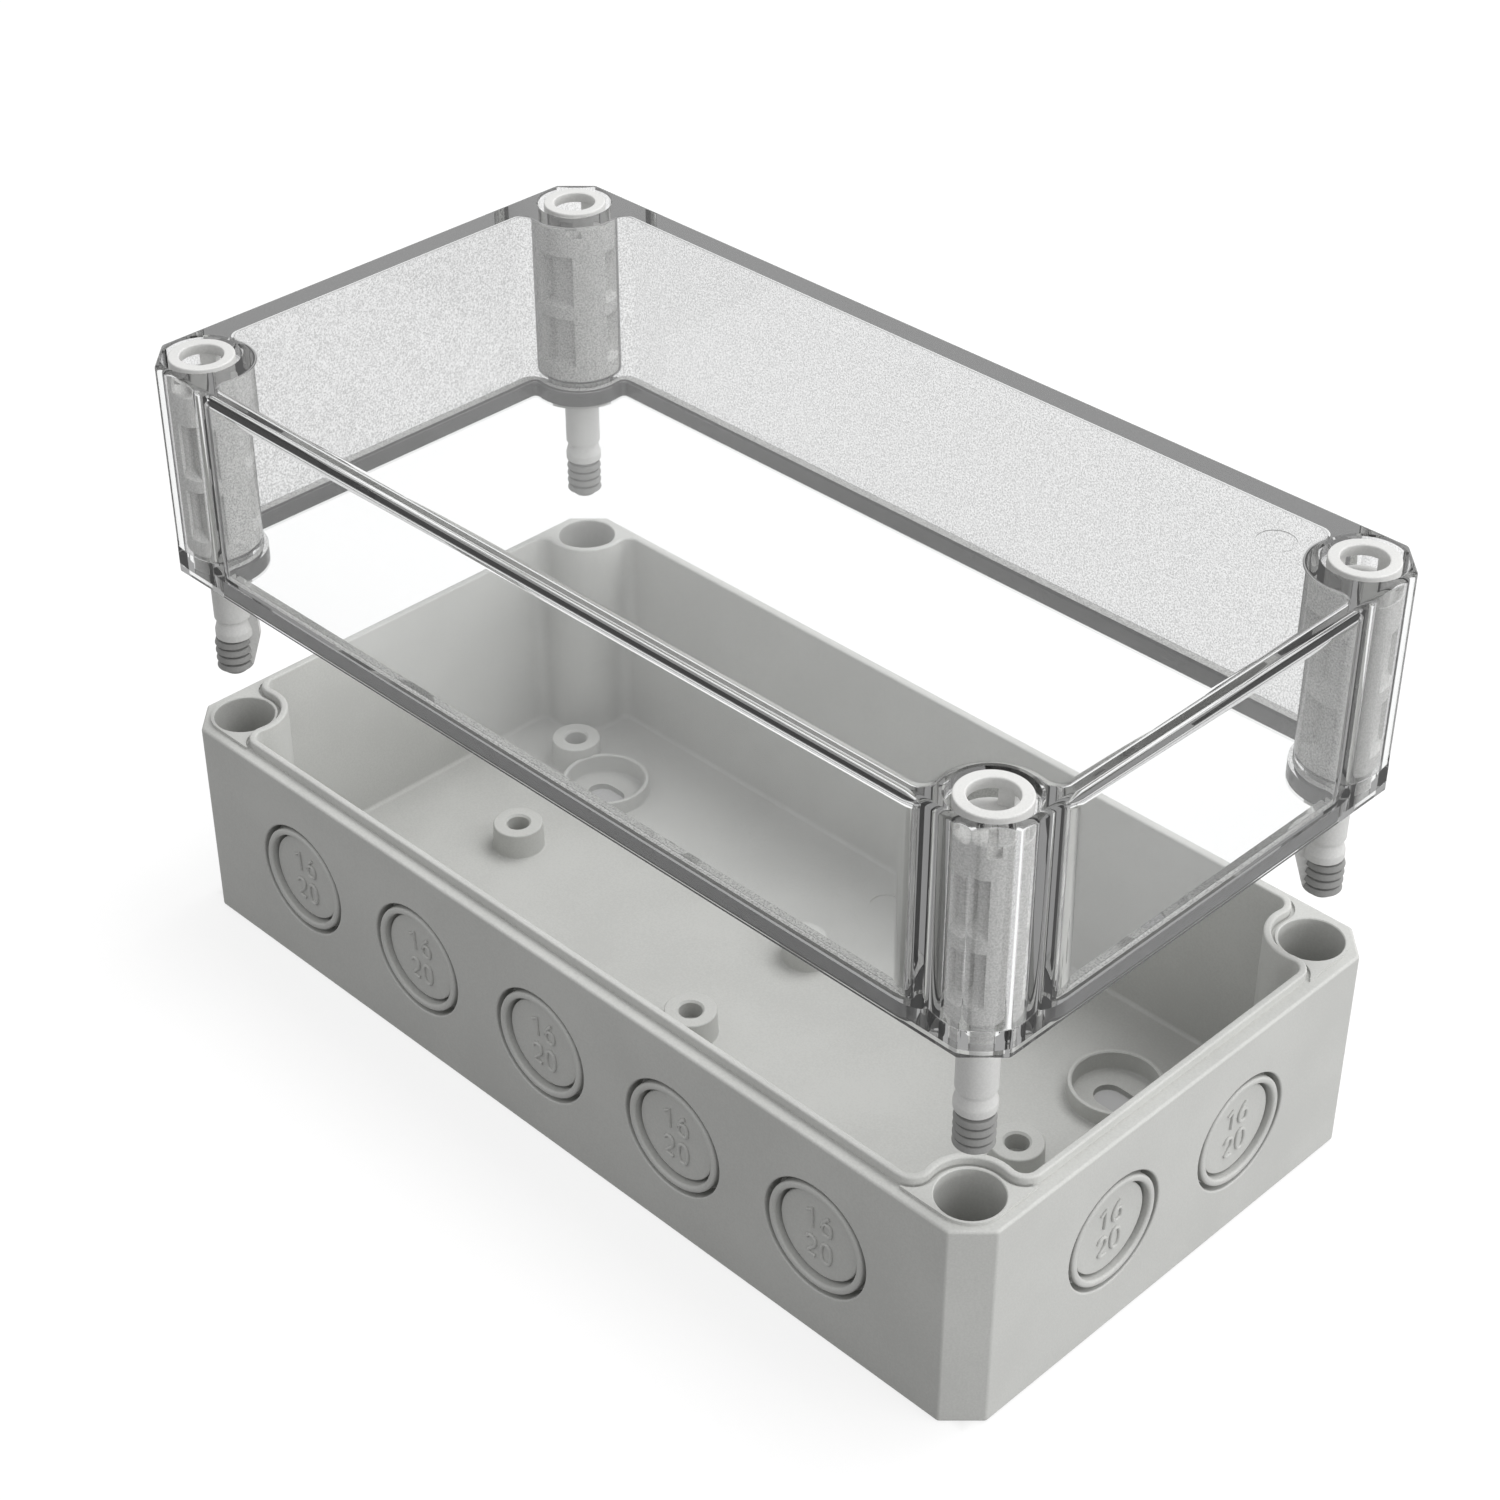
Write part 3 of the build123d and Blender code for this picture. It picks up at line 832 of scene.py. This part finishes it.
def base_piece(case, base, entry):
    """The base shell, in millimetres."""
    rim, top = base.rim, base.rim + base.tongue_height
    obj = as_object("base_body", [block(case, 0, rim, base.edge_round, base.edge_round)])
    out = -base.tongue_thickness
    section = [(0.5, rim - 1, 0), (0.5, top, 0), (out, top, base.tongue_round), (out, rim - 1, 0)]
    add(obj, [rim_ring(case, rounded(section))])
    foot, edge = FLOOR_ROUND, base.tongue_round
    levels = [(rim_line(case, foot - up), base.floor + across) for across, up in bend(foot)]
    levels += [(rim_line(case, -across), top - edge + up) for across, up in bend(edge)]
    levels.append((rim_line(case, -edge), top + 2))
    cut(obj, [stack(levels)])
    pads = corner_zones(case, base.pad_inset, base.pad_reach, rim - 0.5, rim + base.pad_height)
    line = rim_line(case, out - base.pad_groove)
    add(obj, [trimmed(pads, [prism(line, rim - 2, rim + 2)])])
    wide = base.cup_r + 0.5
    cup = [(0, 0.6, 0), (wide, 0.6, 0), (wide, base.floor, 0), (base.cup_r, base.floor, 0.5)]
    cup += [(base.cup_r, base.cup_rim, 0.2), (0, base.cup_rim, 0)]
    cups = corner_spots(case, *CUP_INSETS)
    add(obj, copies(turned(cup), cups))
    wide = base.boss_foot_r + 0.7
    boss = [(0, 1.2, 0), (wide, 1.2, 0), (wide, base.floor, 0), (base.boss_foot_r, base.floor, 0.7)]
    boss += [(base.boss_r, base.boss_top, 0.3), (0, base.boss_top, 0)]
    add(obj, copies(turned(boss, 48), boss_spots(case)))
    cut(obj, base_cutters(case, base, entry))
    line = slot_line(base.slot_length, base.slot_width)
    cut(obj, copies(prism(line, -1, base.cup_floor + 0.4), cups))
    return obj


def mouth(radius, top, bevel):
    """The end of a hole's profile: a bevelled edge at the surface, and on past it."""
    wide = radius + bevel
    return [(radius, top - bevel, 0), (wide, top, 0), (wide, top + 1, 0), (0, top + 1, 0)]


def base_cutters(case, base, entry):
    """What is taken out of the base: wells, entries, cups, boss holes and pin marks."""
    well = [(0, base.well_floor, 0), (base.well_lower_r, base.well_floor, 0.5)]
    well += [(base.well_lower_r, base.well_step, 0), (base.well_r, base.well_step + 0.3, 0)]
    well += mouth(base.well_r, base.rim + base.pad_height, 0.15)
    cutters = copies(turned(well), wells(case))
    flare = entry.mouth_round
    hole = [Vector((0, -case.wall - 1)), Vector((entry.large_r, -case.wall - 1))]
    hole += [Vector((entry.large_r + across, up - flare)) for across, up in bend(flare)]
    hole += [Vector((entry.large_r + flare, 1)), Vector((0, 1))]
    hole = lathe(hole, 96)
    cutters += [moved(hole, matrix) for _, matrix in entry_frames(case, entry)]
    cup = [(0, base.cup_floor, 0), (base.cup_inner_r, base.cup_floor, 0.4)]
    cup += mouth(base.cup_inner_r, base.cup_rim, 0.2)
    cutters += copies(turned(cup), corner_spots(case, *CUP_INSETS))
    hole = [(0, 1.0, 0), (1.45, 1.0, 0), (1.45, 3.6, 0), (base.boss_hole_r, 3.6, 0)]
    hole += mouth(base.boss_hole_r, base.boss_top, 0.35)
    cutters += copies(turned(hole, 40), boss_spots(case))
    mark = pin_mark(base, base.floor - base.mark_depth, base.floor + 1, 48)
    y = case.width / 2 - FLOOR_MARK_INSET
    return cutters + copies(mark, [(0, y), (0, -y)])


def pin_mark(base, low, high, steps):
    """What a mark of the mould's pins takes out, between two heights."""
    return lathe([(0, low), (base.mark_r, low), (base.mark_r, high), (0, high)], steps)


def ring_mesh(case, entry):
    """A knock-out ring: a rounded bead on a thin web, about Z with its face at z = 0."""
    back = -case.wall
    web = back + entry.web
    profile = [(entry.small_r, back, 0), (entry.large_r, back, 0), (entry.large_r, web, 0)]
    profile += [(entry.ring_r, web, 0.2), (entry.ring_r, 0, 0.45), (entry.small_r, 0, 0.45)]
    return lathe(rounded(profile), 96, closed=True)


def disc_mesh(case, entry):
    """A knock-out disc, faintly dished, about Z with the wall's face at z = 0."""
    back = -case.wall
    face = -entry.disc_recess
    profile = [(0, back, 0), (entry.small_r, back, 0), (entry.small_r, back + entry.web, 0)]
    profile += [(entry.disc_r, back + entry.web, 0.15), (entry.disc_r, face, 0.25)]
    profile += [(entry.disc_r - 1.2, face, 0.6), (entry.disc_r * 0.6, face - 0.06, 0)]
    profile += [(0, face - 0.1, 0)]
    return turned(profile, 96)


# The size figures' strokes, in widths and heights of a figure from its lower left corner, then
# a figure's width in heights, its pitch and a pair's reach to the left in widths, and the
# height of a row's middle in millimetres above or below the disc's centre
FIGURES = {
    "0": [[(0.5, 1.03), (0.2, 0.99), (0.03, 0.75), (0, 0.5), (0.03, 0.25), (0.2, 0.01),
           (0.5, -0.03), (0.8, 0.01), (0.97, 0.25), (1, 0.5), (0.97, 0.75), (0.8, 0.99)]],
    "1": [[(0.12, 0.8), (0.62, 1), (0.62, 0)]],
    "2": [[(0.05, 0.78), (0.2, 1), (0.75, 1.02), (0.98, 0.8), (0.9, 0.5), (0.5, 0.3), (0.02, 0),
           (1, 0)]],
    "6": [[(0.78, 1), (0.4, 0.86), (0.02, 0.5), (0.0, 0.18), (0.2, 0), (0.55, -0.01), (0.9, 0.02),
           (1.0, 0.33), (0.85, 0.6), (0.5, 0.62), (0.2, 0.58), (0.04, 0.36)]],
}
FIGURE_WIDTH = 0.55
FIGURE_PITCH = 1.55
PAIR_REACH = 1.28
ROW_MIDDLE = 2.75


def figure_curve(data, text, width, height, left, foot, depth):
    """Adds the strokes of figures to a curve, from a lower left corner."""
    for i, figure in enumerate(text):
        for stroke in FIGURES[figure]:
            smooth = figure != "1"
            spline = data.splines.new("NURBS" if smooth else "POLY")
            spline.points.add(len(stroke) - 1)
            for point, (x, y) in zip(spline.points, stroke):
                start = left + i * width * FIGURE_PITCH
                point.co = (start + x * width, foot + y * height, depth, 1)
            if smooth:
                spline.order_u = 3
                spline.use_endpoint_u = True
                spline.use_cyclic_u = figure == "0"


def figures_mesh(entry):
    """The two size figures as low rounded lines on a disc's face."""
    data = bpy.data.curves.new("figures", "CURVE")
    data.dimensions = "3D"
    data.bevel_depth = entry.figure_stroke
    data.bevel_resolution = 3
    data.resolution_u = 10
    data.use_fill_caps = True
    height = entry.figure_height
    width = height * FIGURE_WIDTH
    left = -width * PAIR_REACH
    depth = -entry.disc_recess + 0.02
    for text, middle in (("16", ROW_MIDDLE), ("20", -ROW_MIDDLE)):
        figure_curve(data, text, width, height, left, middle - height / 2, depth)
    return taken_out(new_object("figures", data))


def lid_piece(case, base, lid):
    """The clear lid standing on z = 0, in millimetres: inner walls in slot 1, bores in slot 2."""
    obj = as_object("lid_body", [block(case, 0, lid.height, lid.foot_round, lid.top_round)])
    ceiling = lid.height - lid.top
    turn = lid.ceiling_round
    levels = [(bay(case, lid.wall, lid.tower_r, lid.tower_corner_r), lid.lip_height)]
    for across, up in bend(turn):
        line = bay(case, lid.wall + across, lid.tower_r + across, lid.tower_corner_r - across)
        levels.append((line, ceiling - turn + up))
    cut(obj, [stack(levels)], 1)
    line = rim_line(case, lid.groove_in + lid.lip_thickness)
    cut(obj, [prism(line, -1, lid.lip_height + 0.2)])
    section = [(-lid.groove_out, -1), (lid.groove_in, -1)]
    section += [(lid.groove_in, lid.groove_top), (-lid.groove_out, lid.groove_top)]
    cut(obj, [rim_ring(case, section)])
    zones = corner_zones(case, base.pad_inset - 0.3, base.pad_reach + 0.3, -1, 0.7)
    cut(obj, [trimmed(zones, [prism(rim_line(case, -LID_ZONE_GAP), -2, 2)])])
    bore = [(0, -1, 0), (lid.shank_hole_r, -1, 0), (lid.shank_hole_r, lid.bore_floor, 0)]
    bore += [(lid.bore_r, lid.bore_floor, 0.3), *mouth(lid.bore_r, lid.height, 0.25)]
    cut(obj, copies(turned(bore), wells(case)), 2)
    mark = pin_mark(base, ceiling - 1, ceiling + base.mark_depth, 64)
    cut(obj, copies(mark, corner_spots(case, *LID_MARK_INSETS)[:1]), 1)
    return obj


def seal_piece(case, lid):
    """The soft strip in the lid's groove, with its upward faces in slot 1, painted lighter as
    painted light on its top.
    """
    outer = lid.seal_gap - lid.groove_out
    inner = lid.groove_in - lid.seal_gap
    foot, top = lid.seal_low, lid.groove_top - lid.seal_gap
    section = [(outer, foot, 0.1), (inner, foot, 0.1), (inner, top, 0), (outer, top, 0)]
    obj = as_object("seal_strip", [rim_ring(case, rounded(section))])
    # Upward faces go in slot 1, lighter: painted light on the seal's top
    for face in obj.data.polygons:
        face.material_index = int(face.normal.z > 0.9)
    return obj


def screw_piece(screw, lid):
    """One captive lid screw about Z, its drive slot along X, in millimetres."""
    head = screw.head_floor
    sleeve = [(0, screw.sleeve_foot, 0), (screw.sleeve_r, screw.sleeve_foot, 0.3)]
    sleeve += [(screw.sleeve_r, head, 0.2), (0, head, 0)]
    obj = as_object("screw", [turned(sleeve, 72)])
    pockets = []
    for low, high in SLEEVE_WINDOWS:
        outside = screw.sleeve_r + 1
        foot = low + WINDOW_DROP
        drop = WINDOW_DROP / (screw.sleeve_r - screw.shank_r) * (outside - screw.shank_r)
        profile = [(screw.shank_r, foot, 0.25), (outside, foot - drop, 0)]
        profile = rounded(profile + [(outside, high, 0), (screw.shank_r, high, 0.25)], steps=3)
        pockets += [sector(profile, WINDOW_TURN + third, WINDOW_ANGLE) for third in THIRDS]
    cut(obj, pockets)
    slot = screw.slot_width / 2
    corners = [(-slot, -slot), (screw.ring_r + 1, -slot), (screw.ring_r + 1, slot), (-slot, slot)]
    cut(obj, [prism([Vector(p) for p in corners], head - screw.slot_depth, head + 0.6)])
    low = lid.height - screw.ring_height
    ring = [(screw.ring_hole_r, low, 0.15), (screw.ring_r, low, 0.15)]
    edge = screw.edge_round
    ring += [(screw.ring_r, lid.height, edge), (screw.ring_hole_r, lid.height, edge)]
    inside, outside = screw.ring_hole_r + 0.05, screw.sleeve_r - 0.2
    pillar = [(inside, head - 0.4), (outside, head - 0.4)]
    pillar += [(outside, lid.height - 1), (inside, lid.height - 1)]
    add(obj, [lathe(rounded(ring), 72, closed=True)])
    add(obj, [sector(pillar, PILLAR_TURN + third, PILLAR_ANGLE, 8) for third in THIRDS])
    add(obj, [lathe(shank_profile(screw), 56)])
    add(obj, [fin_mesh(screw)])
    # The tip, in slot 1, whose darker plastic is painted shade on the ridges
    add(obj, copies(lathe(tip_profile(screw), 56), [(screw.tip_shift, 0)]), 1)
    return obj


def tip_profile(screw):
    """Half of the ridged tip's outline, upwards from its end."""
    root = screw.ridge_r - screw.ridge_depth
    line = [(0, screw.tip_end, 0), (root - 0.2, screw.tip_end, 0.6), (root, screw.tip_foot, 0)]
    for i in range(screw.ridges):
        low = screw.tip_foot + i * screw.ridge_pitch
        high = low + screw.ridge_pitch
        line += [(screw.ridge_r, low, 0.1), (screw.ridge_r - 0.3, high - 0.55, 0.1)]
        line += [(root, high - 0.5, 0.05), (root, high, 0.05)]
    return rounded(line + [(root, high + 0.2, 0), (0, high + 0.2, 0)], closed=False, steps=3)


def shank_profile(screw):
    """Half of the shank's outline, from the collar over the tip up to inside the sleeve."""
    foot = screw.tip_foot + screw.ridge_pitch * screw.ridges
    line = [(0, foot, 0), (3.15, foot, 0.1), (3.15, foot + 1.3, 0.15)]
    line += [(2.7, foot + 2.9, 0.2), (2.7, foot + 3.5, 0.15)]
    line += [(screw.shank_r, foot + 3.6, 0.2), (screw.shank_r, 5.0, 0), (0, 5.0, 0)]
    return rounded(line, closed=False, steps=3)


def fin_mesh(screw):
    """The thin fin beside the tip, on the side away from the drive slot."""
    line = [(-0.5, -7.6, 0), (-0.5, -20.2, 0), (-2.75, -20.2, 0.3), (-4.35, -14.6, 0.6)]
    line += [(-4.05, -8.8, 0.6), (-screw.shank_r, -7.6, 0)]
    half = screw.fin_thickness / 2
    return moved(prism(rounded(line, steps=4), -half, half), Matrix.Rotation(pi / 2, 4, "X"))


# Stage


def floor_material(stage):
    """A pale floor: grey to the lamps, and close to white for the camera apart from shadow, with a
    painted shadow where it glows less under the case.

    From below it isn't there, so that the case's underside can be looked at.
    """
    nodes = Finish("studio_floor")
    mottle = nodes.ramp(nodes.noise(3.0), 0.0, 1.0)
    tone = nodes.mix(mottle, scaled(stage.floor, 0.99), stage.floor)
    nodes.shine({"Base Color": tone, "Roughness": 0.9, "Specular IOR Level": 0.1})
    apart = nodes.add("ShaderNodeSeparateXYZ")
    nodes.link(nodes.place, apart.inputs[0])
    past = []
    for axis, half in enumerate((stage.painted_shadow_length / 2, stage.painted_shadow_width / 2)):
        away = nodes.math("ABSOLUTE", apart.outputs[axis])
        past.append(nodes.ramp(away, 0.0, 1.0, half - 10 * MM, half))
    beyond = nodes.math("MAXIMUM", *past)
    # Less glow under the case: a painted shadow
    level = nodes.math("MULTIPLY_ADD", beyond, FLOOR_WHITENESS, PAINTED_SHADOW_WHITENESS)
    glow = nodes.math("MULTIPLY", nodes.seen(stage.floor_gloss, 1.0), level)
    nodes.shine({"Emission Color": (1, 1, 1), "Emission Strength": glow})
    rays = nodes.rays()
    touching = nodes.math("LESS_THAN", rays["Ray Length"], CONTACT_REACH)
    outside = nodes.math("MULTIPLY", nodes.math("GREATER_THAN", beyond, 0.99), -1.0)
    under = nodes.math("MULTIPLY_ADD", rays["Is Diffuse Ray"], touching, outside)
    from_below = nodes.add("ShaderNodeNewGeometry").outputs["Backfacing"]
    nodes.let_through(nodes.math("MAXIMUM", from_below, under))
    return nodes.material


def look_from(azimuth, elevation, spot):
    """A camera's matrix at a place, looking along an azimuth and down by an elevation."""
    level = cos(elevation)
    back = Vector((sin(azimuth) * level, -cos(azimuth) * level, sin(elevation)))
    right = Vector((0, 0, 1)).cross(back).normalized()
    up = back.cross(right)
    matrix = Matrix((right, up, back)).transposed().to_4x4()
    matrix.translation = spot
    return matrix


def lamp(name, power, spot, width, height):
    """A soft rectangular lamp that faces the case and doesn't show in the clear lid."""
    data = bpy.data.lights.new(name, "AREA")
    data.shape = "RECTANGLE"
    data.size = width
    data.size_y = height
    data.energy = power
    obj = new_object(name, data)
    obj.location = spot
    obj.rotation_euler = (Vector(LAMP_TARGET) - Vector(spot)).to_track_quat("-Z", "Y").to_euler()
    obj.visible_glossy = False
    obj.visible_transmission = False


# Operators


class EnclosureOperator:
    """What the operators share."""

    bl_options = {"REGISTER", "UNDO"}

    @staticmethod
    def groups(context, *names):
        """The finish, and then groups of settings by name, in millimetres."""
        settings = context.scene.enclosure
        return [settings.finish] + [in_mm(getattr(settings, name)) for name in names]


class ENCLOSURE_OT_base(EnclosureOperator, bpy.types.Operator):
    """Build the base shell with its rim, wells, bosses and cups"""

    bl_idname = "enclosure.base"
    bl_label = "Base shell"

    def execute(self, context):
        finish, case, base, entry = self.groups(context, "case", "base", "entry")
        material = plastic("base_grain", finish.base, finish.grain, 0.35, 0.5)
        place(base_piece(case, base, entry), "base", "base_shell", "base_plastic", material)
        return {"FINISHED"}


class ENCLOSURE_OT_entries(EnclosureOperator, bpy.types.Operator):
    """Build the knock-out rings and discs of the cable entries"""

    bl_idname = "enclosure.entries"
    bl_label = "Knock-outs"

    def execute(self, context):
        finish, case, entry = self.groups(context, "case", "entry")
        material = plastic("entry_grain", finish.base, finish.grain, 0.35, 0.5)
        ring = ring_mesh(case, entry)
        disc = disc_mesh(case, entry)
        figures = figures_mesh(entry)
        for name, matrix in entry_frames(case, entry):
            obj = as_object(f"knockout_ring_{name}", [moved(ring, matrix)])
            place(obj, "base", f"entry_ring_{name}", "base_plastic", material)
            parts = [moved(disc, matrix), moved(figures, matrix)]
            obj = as_object(f"knockout_disc_{name}", parts)
            place(obj, "base", f"entry_disc_{name}", "base_plastic", material)
        return {"FINISHED"}


class ENCLOSURE_OT_lid(EnclosureOperator, bpy.types.Operator):
    """Build the clear lid with its screw towers and sealing groove"""

    bl_idname = "enclosure.lid"
    bl_label = "Clear lid"

    def execute(self, context):
        finish, case, base, lid = self.groups(context, "case", "base", "lid")
        obj = lid_piece(case, base, lid)
        obj.data.transform(Matrix.Translation((0, 0, lid.rest)))
        # The lid's inner walls and bores get a grey speckle: painted shade on a fine grain
        place(obj, "lid", "lid_shell", "lid_clear",
              clear("lid_clear", finish.lid, None, finish.grain),
              clear("lid_inside_grain_and_shade", finish.lid, finish.frost_and_shade, finish.frost_grain),
              clear("lid_bores_grain_and_shade", finish.lid, finish.bores, finish.frost_grain, 0.2, True))
        return {"FINISHED"}


class ENCLOSURE_OT_seal(EnclosureOperator, bpy.types.Operator):
    """Build the soft seal in the lid's groove"""

    bl_idname = "enclosure.seal"
    bl_label = "Seal"

    def execute(self, context):
        finish, case, lid = self.groups(context, "case", "lid")
        obj = seal_piece(case, lid)
        obj.data.transform(Matrix.Translation((0, 0, lid.rest)))
        # The seal's top is painted lighter than its foam: painted light
        place(obj, "lid", "lid_seal", "seal_rubber",
              rubber("seal_foam", finish.seal, finish.grain),
              rubber("seal_painted_light_top", finish.painted_light_top, finish.grain))
        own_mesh(obj)
        return {"FINISHED"}


class ENCLOSURE_OT_screws(EnclosureOperator, bpy.types.Operator):
    """Build the four captive lid screws"""

    bl_idname = "enclosure.screws"
    bl_label = "Lid screws"

    def execute(self, context):
        finish, case, lid, screw = self.groups(context, "case", "lid", "screw")
        body = plastic("screw_grain", finish.screw, finish.grain, 0.15, 0.42)
        # The tips' darker plastic is painted shade on the ridges
        tip = plastic("screw_tip_painted_shade", finish.tip, finish.grain, 0.3, 0.5)
        first = screw_piece(screw, lid)
        x, y = wells(case)[0]
        for name, (sx, sy, turn) in SCREW_TURNS.items():
            obj = new_object(f"captive_screw_{name}", first.data.copy())
            spot = Matrix.Translation((sx * x, sy * y, lid.rest))
            obj.data.transform(spot @ Matrix.Rotation(radians(turn), 4, "Z"))
            place(obj, f"screw_{name}", f"lid_screw_{name}", "screw_plastic", body, tip)
        bpy.data.objects.remove(first)
        return {"FINISHED"}


class ENCLOSURE_OT_stage(EnclosureOperator, bpy.types.Operator):
    """Set up the floor, the lamps and the camera"""

    bl_idname = "enclosure.stage"
    bl_label = "Studio"

    def execute(self, context):
        stage = context.scene.enclosure.stage
        bm = bmesh.new()
        bmesh.ops.create_grid(bm, x_segments=24, y_segments=24, size=3.0)
        floor = as_object("studio_floor", [bm])
        floor.location.z = -FLOOR_DROP
        floor.data.materials.append(floor_material(stage))
        world = bpy.data.worlds.new("studio")
        world.use_nodes = True
        background = world.node_tree.nodes["Background"]
        nodes = Nodes(world.node_tree)
        seen = nodes.seen(stage.sky_share, stage.sky_share)
        nodes.link(nodes.ramp(seen, stage.world, 1.0, 0.0, 1.0), background.inputs["Strength"])
        background.inputs["Color"].default_value = (1, 1, 1, 1)
        context.scene.world = world
        lamp("key_lamp", stage.key, (0.95, 0.45, 0.95), 0.8, 0.8)
        lamp("top_lamp", stage.top, (0.1, 0.6, 1.25), 0.8, 0.8)
        lamp("side_lamp", stage.side, (1.4, 0.25, 0.18), 0.8, 0.3)
        data = bpy.data.cameras.new("camera")
        data.sensor_fit = "HORIZONTAL"
        data.sensor_width = 36.0
        data.lens = stage.lens
        data.clip_start = 0.01
        camera = new_object("camera", data)
        camera.matrix_world = look_from(stage.azimuth, stage.elevation, stage.camera)
        context.scene.camera = camera
        context.scene.view_settings.view_transform = "Standard"
        return {"FINISHED"}


class ENCLOSURE_PT_panel(bpy.types.Panel):
    """Buttons and settings of the enclosure, in the sidebar"""

    bl_idname = "ENCLOSURE_PT_panel"
    bl_label = "Enclosure"
    bl_space_type = "VIEW_3D"
    bl_region_type = "UI"
    bl_category = "Enclosure"

    def draw(self, context):
        for operator in OPERATORS:
            self.layout.operator(operator.bl_idname)
        settings = context.scene.enclosure
        for name in ("case", "base", "entry", "lid", "screw", "finish", "stage"):
            box = self.layout.box()
            box.label(text=name.capitalize())
            group = getattr(settings, name)
            for prop in group.bl_rna.properties:
                if prop.identifier not in ("rna_type", "name"):
                    box.prop(group, prop.identifier)


GROUPS = (
    CaseSettings, BaseSettings, EntrySettings, LidSettings,
    ScrewSettings, FinishSettings, StageSettings, EnclosureSettings,
)
OPERATORS = (
    ENCLOSURE_OT_base, ENCLOSURE_OT_entries, ENCLOSURE_OT_lid,
    ENCLOSURE_OT_seal, ENCLOSURE_OT_screws, ENCLOSURE_OT_stage,
)


def register():
    """Adds the settings, the operators and the panel."""
    for kind in (*GROUPS, *OPERATORS, ENCLOSURE_PT_panel):
        bpy.utils.register_class(kind)
    bpy.types.Scene.enclosure = PointerProperty(type=EnclosureSettings)


def unregister():
    """Takes them away again."""
    del bpy.types.Scene.enclosure
    for kind in reversed((*GROUPS, *OPERATORS, ENCLOSURE_PT_panel)):
        bpy.utils.unregister_class(kind)


def main():
    """Builds every piece and the studio."""
    register()
    bpy.ops.enclosure.base()
    bpy.ops.enclosure.entries()
    bpy.ops.enclosure.lid()
    bpy.ops.enclosure.seal()
    bpy.ops.enclosure.screws()
    bpy.ops.enclosure.stage()


if __name__ == "__main__":
    main()
